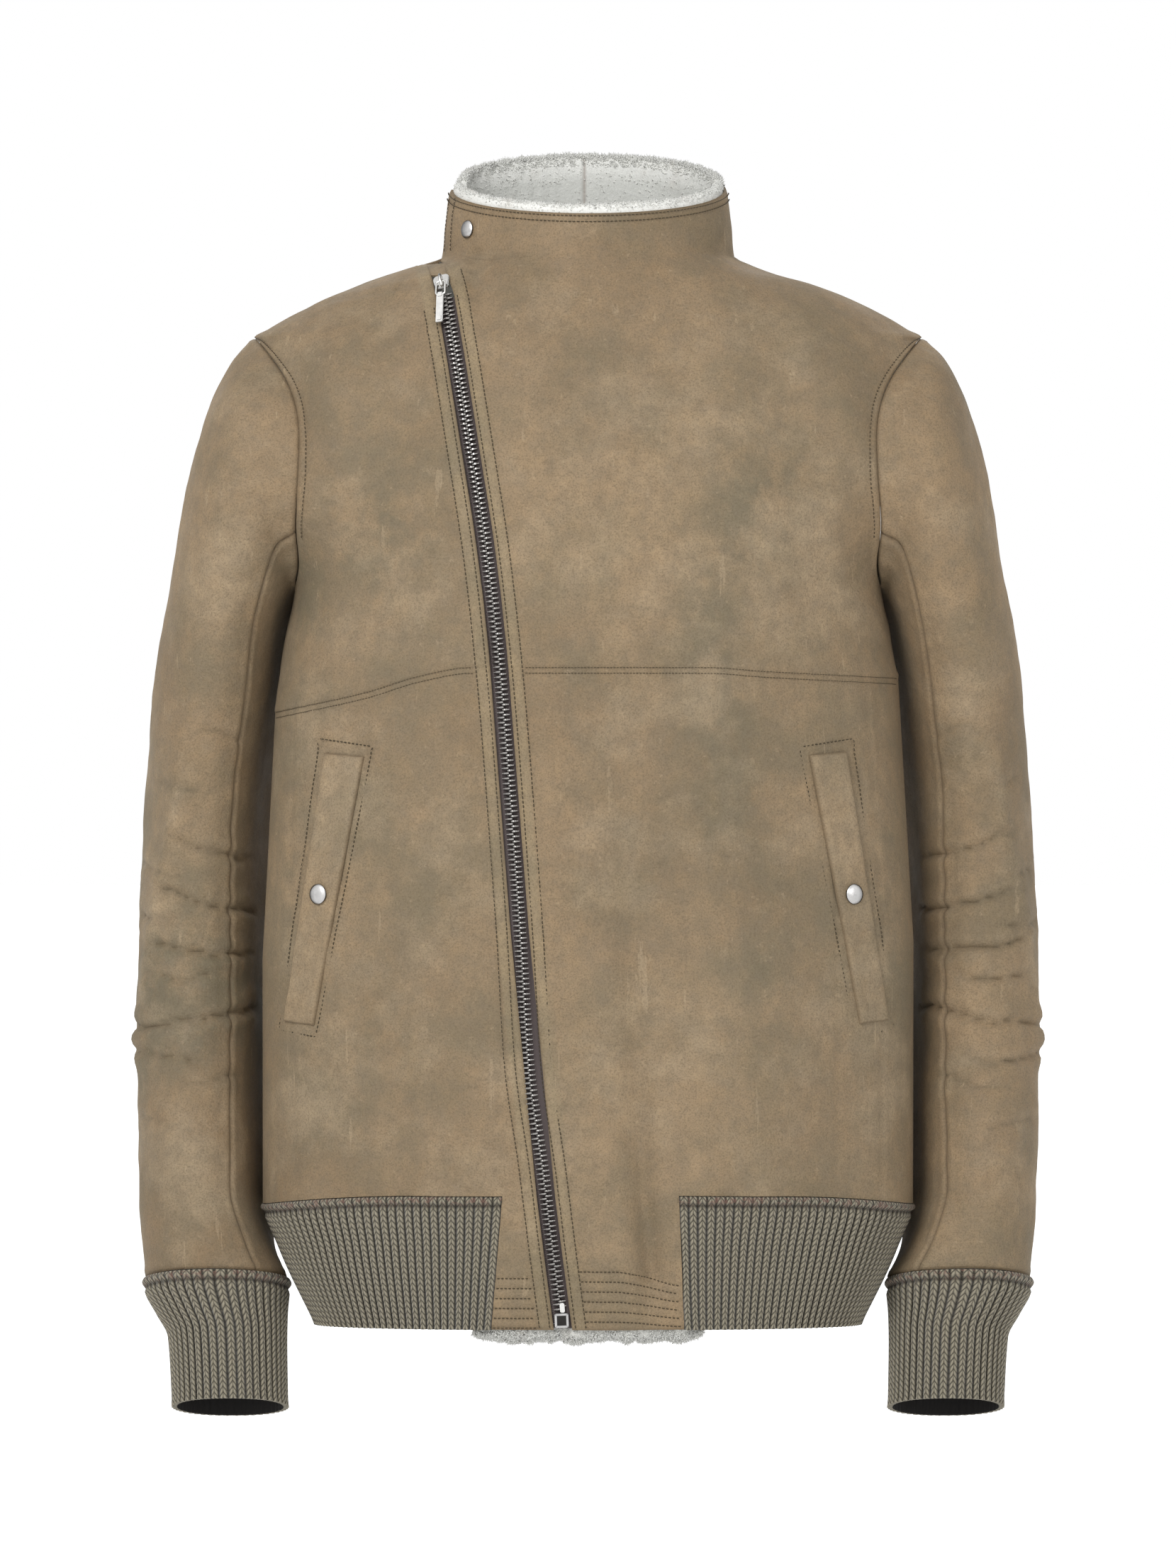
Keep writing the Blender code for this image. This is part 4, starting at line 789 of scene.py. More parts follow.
def suede(name, welt=False, strip=True):
    """Waxed suede: mottled tan with grey-green areas, fine grain, paler rubs and hairline scratches, with
    painted shade in creases and along turned-in edges and painted highlight on ridges.
    """
    n = Nodes(name)
    broad = n.steps(n.noise(5.5, 5.0, 0.6), (0.36, 0.0), (0.66, 1.0))
    colour = n.blend(broad, TAN, BROWN)
    colour = n.blend(n.math("MULTIPLY", broad, 0.35), TAN, colour) if welt else n.blend(0.30, colour, TAN)
    cloud = n.steps(n.noise(24.0, 8.0, 0.70), (0.40, 0.10), (0.56, 1.0))
    colour = n.tint(colour, n.attribute("olive"), cloud, OLIVE)
    patches = n.steps(n.noise(34.0, 5.0), (0.3, 0.45), (0.6, 1.0))
    # Painted shade in creases and by the armpits, with darker worn patches.
    colour = n.tint(colour, n.attribute("dark"), patches, (0.190, 0.140, 0.082))
    rubs = n.steps(n.noise(40.0, 8.0, 0.7), (0.42, 0.0), (0.62, 1.0))
    # Paler: painted highlight on ridges, and rubbed wear.
    colour = n.tint(colour, n.attribute("pale"), rubs, PALE)
    if strip:
        colour = n.tint(colour, n.attribute("strip"), 0.55, STRIP)
    middling = n.steps(n.noise(17.0, 8.0, 0.64), (0.44, 0.0), (0.64, 1.0))
    colour = n.tint(colour, middling, 0.46, OLIVE)
    bright = n.noise(13.0, 8.0, 0.66, (1.0, 1.0, 1.2), (0.3, 0.9, 0.2))
    bright = n.steps(bright, (0.50, 0.0), (0.68, 1.0))
    colour = n.tint(colour, bright, 0.56, PALE)
    mottled = n.steps(n.noise(95.0, 8.0, 0.70), (0.34, 0.0), (0.66, 1.0))
    colour = n.tint(colour, mottled, 0.48, GREY)
    flecks = n.steps(n.noise(210.0, 6.0, 0.7), (0.60, 0.0), (0.72, 1.0))
    colour = n.tint(colour, flecks, 0.42, PALE)
    scratch = n.noise(9.0, 4.0, 0.6, (14.0, 14.0, 1.3), (0.0, 0.35, 0.0))
    scratch = n.steps(scratch, (0.665, 0.0), (0.70, 1.0))
    colour = n.tint(colour, scratch, 0.34, PALE)
    grain = n.noise(850.0, 5.0, 0.75)
    colour = n.tint(colour, n.steps(grain, (0.36, 1.0), (0.54, 0.0)), 0.55, (0.13, 0.095, 0.055))
    # Painted shade along turned-in edges and round the welts.
    edge = n.attribute("edge")
    colour = n.tint(colour, edge, 0.55, (0.150, 0.105, 0.060))
    n.set("Base Color", colour)
    worn = n.steps(n.noise(30.0, 6.0, 0.6), (0.3, 0.62), (0.7, 0.86))
    n.set("Roughness", worn)
    n.set("Specular IOR Level", 0.34)
    n.set("Sheen Weight", 0.10)
    n.set("Sheen Roughness", 0.45)
    n.set("Sheen Tint", (0.80, 0.70, 0.55, 1.0))
    n.relief(
        (n.noise(46.0, 6.0, 0.65), 0.50, 0.0024),
        (n.cells(330.0, "DISTANCE_TO_EDGE"), 0.16, 0.0010),
        (n.noise(620.0, 5.0, 0.62), 0.52, 0.0007),
        (grain, 0.40, 0.0004),
    )
    return n.material


def pile(name, painted_light=1.0):
    """The wool side of the skin: short off-white curls, with painted shade in their hollows and on the rolls'
    inner faces; painted_light darkens the whole for shaded copies.
    """
    n = Nodes(name)
    curls = n.noise(420.0, 6.0, 0.7)
    # Painted shade in the hollows between curls.
    curl_hollow_shade = n.steps(curls, (0.34, 1.0), (0.52, 0.0))
    colour = n.tint((0.94 * painted_light, 0.94 * painted_light, 0.90 * painted_light), curl_hollow_shade, 0.34, (0.66, 0.66, 0.61))
    warm = n.steps(n.noise(60.0, 4.0), (0.55, 0.0), (0.75, 1.0))
    colour = n.tint(colour, warm, 0.25, (0.74, 0.66, 0.58))
    # Painted shade on the wool rolls' inner faces.
    colour = n.tint(colour, n.attribute("inside_shade"), 0.55, (0.60, 0.61, 0.57))
    colour = n.tint(colour, n.attribute("seam"), 0.55, (0.33, 0.25, 0.20))
    n.set("Base Color", colour)
    n.set("Roughness", 0.95)
    n.set("Specular IOR Level", 0.10)
    n.set("Sheen Weight", 0.25)
    n.relief((n.noise(130.0, 5.0, 0.6), 0.35, 0.003), (curls, 0.60, 0.0012))
    return n.material


def knit(name):
    """Rib knit: every rib a column of V-shaped stitches, set out by the UVs (rib number, stitch number), with
    painted light on the crests and painted shade in the valleys and under the linked ridge.
    """
    n = Nodes(name)
    uv = n.add("ShaderNodeUVMap").outputs["UV"]
    split = n.add("ShaderNodeSeparateXYZ")
    n.join(uv, split.inputs["Vector"])
    across = n.math("SUBTRACT", n.math("FRACT", split.outputs["X"]), 0.5)
    aside = n.math("MULTIPLY", n.math("ABSOLUTE", across), 2.0)
    phase = n.math("FRACT", n.math("ADD", split.outputs["Y"], n.math("MULTIPLY", aside, -0.95)))
    wave = n.math("SINE", n.math("MULTIPLY", phase, math.pi))
    off_leg = n.math("MULTIPLY", n.math("ABSOLUTE", n.math("SUBTRACT", aside, 0.42)), 1.9)
    leg = n.math("SUBTRACT", 1.0, n.math("MULTIPLY", off_leg, off_leg), True)
    height = n.math("MULTIPLY", n.math("POWER", wave, 0.60), leg)
    # Painted shade in the valleys between ribs.
    rib_valley_shade = n.steps(aside, (0.66, 0.0), (0.95, 1.0))
    fibre = n.noise(900.0, 4.0, 0.65)
    # Painted light: the stitches' crests lighter and their low parts darker.
    painted_light = n.steps(height, (0.10, 0.0), (0.80, 1.0))
    colour = n.blend(painted_light, (0.070, 0.061, 0.044), (0.365, 0.328, 0.245))
    colour = n.tint(colour, rib_valley_shade, 0.85, (0.026, 0.022, 0.016))
    colour = n.tint(colour, n.steps(fibre, (0.48, 0.0), (0.70, 1.0)), 0.35, (0.34, 0.305, 0.23))
    # Painted shade in the dip under the linked ridge.
    colour = n.tint(colour, n.attribute("under_ridge_shade"), 0.75, (0.030, 0.025, 0.018))
    thread = n.steps(n.noise(210.0, 4.0, 0.7), (0.50, 0.0), (0.56, 1.0))
    linked = n.math("MULTIPLY", thread, n.attribute("linked"))
    colour = n.tint(colour, linked, 0.60, (0.250, 0.135, 0.105))
    n.set("Base Color", colour)
    n.set("Roughness", 0.93)
    n.set("Specular IOR Level", 0.15)
    n.set("Sheen Weight", 0.18)
    n.relief((height, 1.0, 0.0014), (fibre, 0.45, 0.0005))
    return n.material


def twill(name):
    n = Nodes(name)
    wave = n.add("ShaderNodeTexWave", wave_type="BANDS", bands_direction="DIAGONAL")
    wave.inputs["Scale"].default_value = 620.0
    wave.inputs["Distortion"].default_value = 0.6
    n.join(n.coordinates.outputs["Object"], wave.inputs["Vector"])
    colour = n.blend(wave.outputs["Fac"], (0.080, 0.062, 0.063), (0.160, 0.130, 0.125))
    n.set("Base Color", colour)
    n.set("Roughness", 0.85)
    n.relief((wave.outputs["Fac"], 0.6, 0.0004), (n.noise(1500.0, 3.0), 0.3, 0.0003))
    return n.material


def metal(name, colour, low, high, dents=0.0):
    n = Nodes(name)
    n.set("Metallic", 1.0)
    n.set("Roughness", n.steps(n.noise(260.0, 6.0, 0.65), (0.3, low), (0.7, high)))
    worn, dark_reflection_colour = tuple(c * 0.6 for c in colour), tuple(c * 0.12 for c in colour)
    tarnish = n.blend(n.steps(n.noise(180.0, 6.0, 0.7), (0.4, 0.0), (0.75, 0.5)), colour, worn)
    # Painted reflection: the metal is darker where it is seen at a grazing angle.
    facing = n.add("ShaderNodeLayerWeight")
    facing.inputs["Blend"].default_value = 0.5
    grazing_dark_reflection = n.steps(facing.outputs["Facing"], (0.22, 0.0), (0.62, 1.0))
    n.set("Base Color", n.blend(grazing_dark_reflection, tarnish, dark_reflection_colour))
    n.relief((n.noise(700.0, 4.0), 0.10 + dents, 0.0003))
    return n.material


def thread(name, colour):
    n = Nodes(name)
    n.set("Base Color", n.blend(n.noise(500.0, 4.0), colour, tuple(c * 0.6 for c in colour)))
    n.set("Roughness", 0.7)
    n.relief((n.noise(2200.0, 3.0), 0.4, 0.0002))
    return n.material


BODY_SUEDE = suede("body_suede")
SLEEVE_SUEDE = suede("sleeve_suede", strip=False)
WELT_SUEDE = suede("welt_suede", True, strip=False)
PILE = pile("wool_pile")
# The wool on the panels' inner faces: the same pile painted darker, for the shade inside the jacket.
SHADED_PILE = pile("inner_pile_painted_shade", 0.85)
KNIT = knit("rib_knit_wool")
TAPE = twill("zip_tape_twill")
STEEL = metal("zip_metal", (0.92, 0.91, 0.88), 0.10, 0.24)
TEETH = metal("zip_teeth_metal", (0.33, 0.315, 0.30), 0.18, 0.36)
PEWTER = metal("snap_metal", (0.66, 0.65, 0.64), 0.22, 0.40, 0.25)
THREAD = thread("brown_thread", (0.062, 0.046, 0.022))
FINE_THREAD = thread("fine_thread", (0.075, 0.054, 0.027))
# Near-black metal: painted shade in the zip box's sunken middle and round the snaps' rims.
SHADOW_METAL = metal("dark_metal", (0.045, 0.042, 0.040), 0.45, 0.70)
# Near-black for the cuffs' inner faces: painted shadow inside the sleeves.
CUFF_SHADOW_KNIT = thread("cuff_inside_painted_shadow", (0.010, 0.008, 0.007))


# leather panels


def leather(name, node, turns, heights, seams, keep=None, armhole=False):
    """A suede panel over a grid of turns and heights, with its edges turned in at the named seams."""
    points = surface(turns, heights)
    away = edge_distances(points)
    normals = body_normal(turns, heights)
    base = body_oval(turns, heights)
    dip, edge = turned_in(away, seams)
    if armhole:
        level = eased(heights, ARMHOLE_BOTTOM, ARMHOLE_BOTTOM + 0.030)
        level = level * eased(heights, ARMHOLE_TOP + 0.006, ARMHOLE_TOP)
        strip = 0.0008 * eased(away["end"], 0.0074, 0.0060) - 0.0009 * bump(away["end"] - 0.0062, 0.0010)
        dip = dip + level * strip
        dip = dip - relief(base) * level * eased(away["end"], 0.012, 0.0)
    outer = points + normals * dip[..., None]
    inner = surface(turns, heights, LEATHER, False) + normals * np.minimum(0.0, relief(base))[..., None]
    attributes = tones(edge.shape, olive=zone(base, OLIVE_ZONES), dark=zone(base, SHADE_AND_WEAR_ZONES),
                       pale=zone(base, HIGHLIGHT_AND_WEAR_ZONES), strip=strip_zone(base), edge=edge)
    made = wall(name, outer, inner, [BODY_SUEDE, SHADED_PILE], keep, attributes)
    dress(made, node)
    area = surface_area(outer, keep)
    return made


def surface_area(points, keep=None):
    a, b, c, d = points[:-1, :-1], points[:-1, 1:], points[1:, 1:], points[1:, :-1]
    areas = (np.linalg.norm(np.cross(b - a, d - a), axis=2)
             + np.linalg.norm(np.cross(b - c, d - c), axis=2)) / 2
    if keep is not None:
        row, column = np.meshgrid(np.arange(areas.shape[0]), np.arange(areas.shape[1]), indexing="ij")
        areas = areas * keep(row, column)
    return float(areas.sum())


def dress(piece, node, body="jacket"):
    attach(piece, body)
    if node:
        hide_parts(*([node] if isinstance(node, str) else node))
    return piece


def chest_row(side, parts):
    level = float(lookup(zip_edge(side, SEAM_LEFT), CHEST_SEAM))
    turns = shared(float(turn_at(zip_edge(side, level), level)), side * SIDE, level, parts)
    heights = lookup(body_oval(turns, level)[..., 0], CHEST_SEAM)
    heights[-1] = SEAM_LEFT if side > 0 else SEAM_RIGHT
    return turns, heights


def level_row(height, side, parts):
    start = float(turn_at(zip_edge(side, height), height))
    return shared(start, outer_turn(height, side), height, parts), np.full(len(parts), height)


def stack(rows):
    return np.array([row[0] for row in rows]), np.array([row[1] for row in rows])


def level_steps():
    """Heights from the armhole's bottom to the shoulder seam's top."""
    sloped = [-0.0515, -0.046, -0.0375, -0.0267, -0.016, -0.0075, SHOULDER_TOP]
    near = ARMHOLE_BOTTOM + np.array([0.0, 0.0008, 0.0022, 0.0042, 0.0068])
    return list(near) + list(np.arange(-0.203, -0.054, 0.0026)) + list(
        np.interp(np.linspace(0, 6, 25), range(7), sloped)
    )


def upper_front(side):
    parts = stations(0.31 if side > 0 else 0.17, CELL)
    seam = chest_row(side, parts)
    first = level_row(ARMHOLE_BOTTOM, side, parts)
    rise = stations(abs(ARMHOLE_BOTTOM - SEAM_LEFT), 0.0026, True, False)
    rows = [(mix(seam[0], first[0], p), mix(seam[1], first[1], p)) for p in rise[:-1]]
    rows += [level_row(height, side, parts) for height in level_steps()]
    if side < 0:
        return stack(rows)
    last = rows[-1]
    neck_turns = shared(-SIDE, SIDE, NECK, parts)
    neck = (neck_turns, np.full(len(parts), NECK))
    rows += [(mix(last[0], neck[0], p), mix(last[1], neck[1], p)) for p in (0.5, 1.0)]
    for p in stations(0.040, 0.0026, False, True)[1:]:
        rows.append((neck_turns, mix(NECK, collar_rim(neck_turns), p)))
    return stack(rows)


def lower_front(side):
    """The lower front's grid, and the number of columns of its tongue beside the zip."""
    width = 0.078 if side > 0 else 0.030
    near = stations(width, CELL, True, True)
    far = stations(0.175 if side > 0 else 0.165, CELL, True, True)
    seam_parts = np.concatenate((near * width, width + far[1:] * (0.26 - width))) / 0.26

    def split(height_of, level):
        edge = float(turn_at(band_x(side, level), level))
        start = float(turn_at(zip_edge(side, level), level))
        turns = np.concatenate((shared(start, edge, level, near), shared(edge, side * SIDE, level, far)[1:]))
        return turns, height_of(turns)

    seam = chest_row(side, seam_parts)
    band = split(band_top, RIB_TOP)
    rows = [split(lambda turns, level=level: np.full(len(turns), level), level)
            for level in mix(HEM, RIB_TOP, stations(RIB_TOP - HEM, 0.0017, True, False)[:-1])]
    below = len(rows)
    fade = 1 - np.linspace(0, 1, len(seam_parts))
    for p in stations(RIB_TOP - SEAM_LEFT, CELL, False, True):
        turns, heights = mix(band[0], seam[0], p), mix(band[1], seam[1], p)
        level = heights[0]
        start = float(turn_at(zip_edge(side, level), level))
        turns = turns + (start - turns[0]) * fade**3
        rows.append((turns, heights))
    return (*stack(rows), below, len(near) - 1)


def band_top(turn):
    return RIB_TOP - RIB_DROP * np.sin(turn) ** 4


def back_grid():
    parts = stations(0.50, 0.0048)
    rows = []

    def row(right_height, left_height, right_turn, left_turn):
        level = (right_height + left_height) / 2
        turns = shared(right_turn, left_turn, level, parts)
        return turns, mix(right_height, left_height, parts)

    foot = float(band_top(SIDE))
    sides = (-SIDE, SIDE - 2 * math.pi)
    for p in stations(RIB_TOP - SEAM_LEFT, 0.0045, False, False):
        turns, heights = row(mix(foot, SEAM_RIGHT, p), mix(foot, SEAM_LEFT, p), *sides)
        rows.append((turns, mix(band_top(turns), heights, eased(p, 0, 0.3))))
    for p in np.linspace(0, 1, 17)[1:-1]:
        rows.append(row(mix(SEAM_RIGHT, ARMHOLE_BOTTOM, p), mix(SEAM_LEFT, ARMHOLE_BOTTOM, p), *sides))
    for height in [*level_steps()[::2], SHOULDER_TOP, (SHOULDER_TOP + NECK) / 2, NECK]:
        turn = outer_turn(height, -1, back=True)
        rows.append(row(height, height, turn, -2 * math.pi - turn))
    return stack(rows)


turns, heights = upper_front(-1)
leather("right_upper_front_suede", "front_right_upper", turns, heights, EDGES, armhole=True)
turns, heights = upper_front(1)
leather("left_upper_front_suede", "front_left_upper", turns, heights, EDGES, armhole=True)
for side, word in ((-1, "right"), (1, "left")):
    turns, heights, below, tongue = lower_front(side)
    leather(f"{word}_lower_front_suede", f"front_{word}_lower", turns, heights, EDGES,
            keep=lambda row, column, below=below, tongue=tongue: (row >= below) | (column < tongue))
turns, heights = back_grid()
leather("back_suede", "back_panel", turns, heights, ("start", "end", "top"))


# the back of the collar


def collar_back():
    flap = shared(-SIDE, SIDE, NECK, np.linspace(0, 1, COLLAR_COLUMNS + 1))
    lap_end = 2 * math.pi + flap[LAP_STEPS]
    across = shared(SIDE, 2 * math.pi - SIDE, NECK, stations(0.26, 0.0032, True, False))
    turns = np.concatenate((across, np.linspace(across[-1], lap_end, 22)[1:]))
    lapped = eased(turns, 2 * math.pi - SIDE - LAP_EASE[0], 2 * math.pi - SIDE - LAP_EASE[1])
    rows = [(turns, mix(NECK + GAP / 2, collar_rim(turns) - lapped * LAP_DROP, p))
            for p in stations(0.058, 0.0030)]
    turns, heights = stack(rows)
    inset = lapped * (LEATHER + 2 * GAP)
    base = body_oval(turns, heights)
    normals = body_normal(turns, heights)
    away = edge_distances(base)
    dip, edge = turned_in(away, ("start", "bottom", "top"))
    uneven = 0.0009 * noise(base, 16, 3, 2) * (1 - lapped)
    rows = bump(away["top"] - 0.0022, 0.0009) + bump(away["top"] - 0.0072, 0.0009)
    out = folds(base, BODY_FOLDS) - inset + uneven - 0.0006 * rows + dip
    outer = base + normals * out[..., None]
    inner = base + normals * (folds(base, BODY_FOLDS) - inset - LEATHER)[..., None]
    attributes = tones(edge.shape, olive=0.15, dark=0.12, pale=0.1, edge=edge)
    made = wall("collar_back_suede", outer, inner, [BODY_SUEDE, SHADED_PILE], None, attributes)
    dress(made, "collar_back")
    round(surface_area(outer), 5)


collar_back()


# sleeves


def sleeve_frame(angles):
    """The armhole's edge and every ring of the left sleeve, at angles from the outer line."""
    middle, half = (ARMHOLE_TOP + ARMHOLE_BOTTOM) / 2, (ARMHOLE_TOP - ARMHOLE_BOTTOM) / 2
    heights = middle + half * np.cos(angles)
    behind = np.sin(angles) < 0
    turns = np.array([outer_turn(h, 1, bool(b)) for h, b in zip(heights, behind)])
    rings = [surface(turns, heights, 0.0, False)]
    out, forward = power(np.cos(angles), 2 / SQUARENESS), power(np.sin(angles), 2 / SQUARENESS)
    for outer_x, outer_z, inner_x, inner_z, half_depth, middle_y, tilt in SLEEVE_RINGS:
        rings.append(np.stack((
            (outer_x + inner_x) / 2 + (outer_x - inner_x) / 2 * out,
            middle_y - half_depth * forward,
            (outer_z + inner_z) / 2 + (outer_z - inner_z) / 2 * out + tilt * half_depth * forward,
        ), -1))
        behind = bump(np.angle(np.exp(1j * (angles - math.radians(208)))), math.radians(24))
        low = eased(inner_z, -0.202, -0.215) * eased(inner_z, -0.655, -0.62)
        rings[-1][:, 0] -= 0.0140 * float(low) * behind
    return np.array(rings)


def smooth_rows(rings, cell):
    """More rows, on smooth curves through the rings."""
    steps = np.linalg.norm(np.diff(rings, axis=0), axis=2).mean(1)
    along = np.concatenate(([0.0], np.cumsum(steps)))
    tangents = np.gradient(rings, along, axis=0)
    wanted = stations(along[-1], cell) * along[-1]
    k = np.clip(np.searchsorted(along, wanted, side="right") - 1, 0, len(along) - 2)
    width = (along[k + 1] - along[k])[:, None, None]
    part = ((wanted - along[k]) / (along[k + 1] - along[k]))[:, None, None]
    a, b, start, end = rings[k], rings[k + 1], tangents[k] * width, tangents[k + 1] * width
    return (a + start * part + (3 * (b - a) - 2 * start - end) * part**2
            + (start + end - 2 * (b - a)) * part**3)


RIDGE = ((-0.300, 74), (-0.370, 66), (-0.420, 50), (-0.460, 38), (-0.515, 22))


def sleeve_relief(points, angles, mirror):
    """How far the sleeve's creases stand out, with painted shade in them, painted highlight beside them and
    along the ridge, and worn patches.
    """
    shift = 0.35 if mirror else 0.0
    x, z = points[..., 0], points[..., 2]
    front = eased(np.sin(angles), 0.05, 0.35)[None, :] + 0 * x
    total = 0.0014 * noise(points + shift, 15, 31, 2) + 0.0004 * noise(points + shift, 60, 33, 2)
    wander = 0.0022 * noise(points + shift, 70, 41, 2)
    dark = np.zeros(x.shape)
    pale = np.zeros(x.shape)
    for start_x, start_z, end_x, end_z, sag, half_width, depth in ELBOW_CREASES:
        drop = 0.003 * math.sin(start_z * 900) if mirror else 0.0
        part = (x - start_x) / (end_x - start_x)
        held = np.clip(part, 0, 1)
        line = mix(start_z, end_z, held) - 4 * sag * held * (1 - held) + drop
        fade = bump(part - held, 0.18) * front
        away = z - line + wander
        lips = 0.55 * bump(np.abs(away) - 2.0 * half_width, 1.5 * half_width)
        total += fade * depth * (lips - bump(away, half_width * 0.62))
        # Painted shade in each crease's trough, and painted highlight just above it.
        dark = np.maximum(dark, 0.75 * fade * bump(away, 0.0016))
        pale = np.maximum(pale, 0.35 * fade * bump(away - 0.0045, 0.003))
    ridge_at = np.radians(lookup(z, RIDGE))
    off = np.abs(np.angle(np.exp(1j * (angles[None, :] - ridge_at))))
    on = eased(z, -0.545, -0.500) * eased(z, -0.290, -0.340)
    total += 0.0032 * bump(off, math.radians(13)) * on
    # Painted highlight along the ridge.
    pale = np.maximum(pale, 0.65 * bump(off, math.radians(8)) * on)
    for at, half, strength in ((-0.335, 0.030, 0.35), (-0.560, 0.040, 0.40), (-0.230, 0.040, 0.30)):
        pale = np.maximum(
            pale, strength * bump(z - at, half) * eased(noise(points + shift, 14, 51), -0.1, 0.8))
    dark = np.maximum(dark, 0.35 * eased(noise(points + shift, 10, 55, 2), 0.2, 1.0))
    olive = 0.85 * eased(noise(points + shift, 7.5, 57, 2), 0.0, 0.9) * eased(z, -0.12, -0.30)
    return total, dark, pale, olive


def sleeve_piece(side, word, piece, angles, node):
    points = smooth_rows(sleeve_frame(angles), 0.0030)
    normals = grid_normals(points)
    middle = points.mean(1, keepdims=True)
    if (normals * (points - middle)).sum() < 0:
        normals = -normals
    away = edge_distances(points)
    out, dark, pale, olive = sleeve_relief(points, angles, side < 0)
    out = out * eased(away["bottom"], 0.0, 0.014)
    # edge: painted shade along the piece's turned-in edges.
    edge = np.zeros(out.shape)
    for seam in EDGES:
        out = out - EDGE_DEPTH * bump(away[seam], EDGE_REACH) + 0.0006 * bump(away[seam] - 0.0038, 0.0028)
        edge = np.maximum(edge, bump(away[seam], 0.0012))
    pucker = np.sin(np.arange(len(angles)) * 1.1)[None, :] * bump(away["bottom"] - 0.005, 0.007)
    out = out + 0.0004 * pucker * eased(away["bottom"], 0.0, 0.003)
    outer = points + normals * out[..., None]
    inner = points + normals * (np.minimum(0.0, out) - LEATHER)[..., None]
    if side < 0:
        outer, inner = outer * (-1, 1, 1), inner * (-1, 1, 1)
    attributes = tones(out.shape, olive=olive, dark=dark, pale=pale, edge=edge)
    made = wall(f"{word}_sleeve_{piece}_suede", outer, inner, [SLEEVE_SUEDE, SHADED_PILE], None, attributes)
    dress(made, node)
    area = surface_area(outer)


for side, word in ((-1, "right"), (1, "left")):
    sleeve_piece(
        side, word, "top", np.linspace(BACK_SEAM - 2 * math.pi, FRONT_SEAM, 119), f"sleeve_{word}_top")
    sleeve_piece(side, word, "under", np.linspace(FRONT_SEAM, BACK_SEAM, 46), f"sleeve_{word}_under")


# rib knit


def rib_shape(count_along, ribbing):
    """The outline across the ribs: rounded crests and narrow valleys."""
    return ribbing * ((RIB_HEIGHT + 0.0006) * np.abs(np.sin(math.pi * count_along)) ** 0.75 - 0.0008)


def linked_ridge(distance):
    """The raised edge where the knit is linked on, and the tighter dip below it."""
    return 0.0017 * bump(distance - 0.0020, 0.0020) - 0.0008 * bump(distance - 0.0060, 0.0014)


STITCH = 0.0037
CUFF_HEIGHT = 0.0813
BAND_HEIGHT = 0.086


def knit_tones(drop, shape):
    """Where the knit is linked on, and the painted shade of the dip under the linked ridge, by the distance
    below its upper edge.
    """
    marks = {"linked": bump(drop - 0.002, 0.003), "under_ridge_shade": bump(drop - 0.0058, 0.0013)}
    return {key: np.broadcast_to(value[:, None], shape) for key, value in marks.items()}


def cuff(side, word):
    table = [(ring[2], ring[0], ring[1], *ring[3:]) for ring in CUFF_RINGS]
    per_rib = 6
    angles = 2 * math.pi * np.arange(CUFF_RIBS * per_rib) / (CUFF_RIBS * per_rib)
    drop = np.concatenate((np.linspace(0, 0.009, 13)[:-1], np.linspace(0.009, CUFF_HEIGHT, 27)))
    heights = CUFF_RINGS[0][2] - drop
    outer_x, inner_x, half_depth, middle_y, tilt = (
        lookup(heights, table, column)[:, None] for column in range(1, 6))
    ribbing = eased(drop, 0.003, 0.009)[:, None]
    ribs = rib_shape(CUFF_RIBS * angles / (2 * math.pi), ribbing) + linked_ridge(drop)[:, None]
    ribs = ribs + 0.0005 * bump(drop - CUFF_HEIGHT, 0.003)[:, None]

    def ring(lift):
        x = (outer_x + inner_x) / 2 + ((outer_x - inner_x) / 2 + lift) * power(np.cos(angles), 2 / SQUARENESS)
        forward = (half_depth + lift) * power(np.sin(angles), 2 / SQUARENESS)
        points = np.stack((x, middle_y - forward, heights[:, None] + tilt * forward), -1)
        return points * (side, 1, 1)

    outer, inner = ring(ribs), ring(0 * ribs - 0.0020 - 0.0003 * np.cos(CUFF_RIBS * angles))
    uvs = np.stack(np.broadcast_arrays(CUFF_RIBS * angles / (2 * math.pi), (drop / STITCH)[:, None]), -1)
    attributes = knit_tones(drop, ribs.shape)
    # The cuff's inner face is painted near-black, as the shadow inside the sleeve.
    made = wall(f"{word}_cuff_knit", outer, inner, [KNIT, CUFF_SHADOW_KNIT], None, attributes, True, uvs)
    dress(made, f"cuff_{word}")
    round(surface_area(ring(0 * ribs)) / CUFF_HEIGHT, 3)


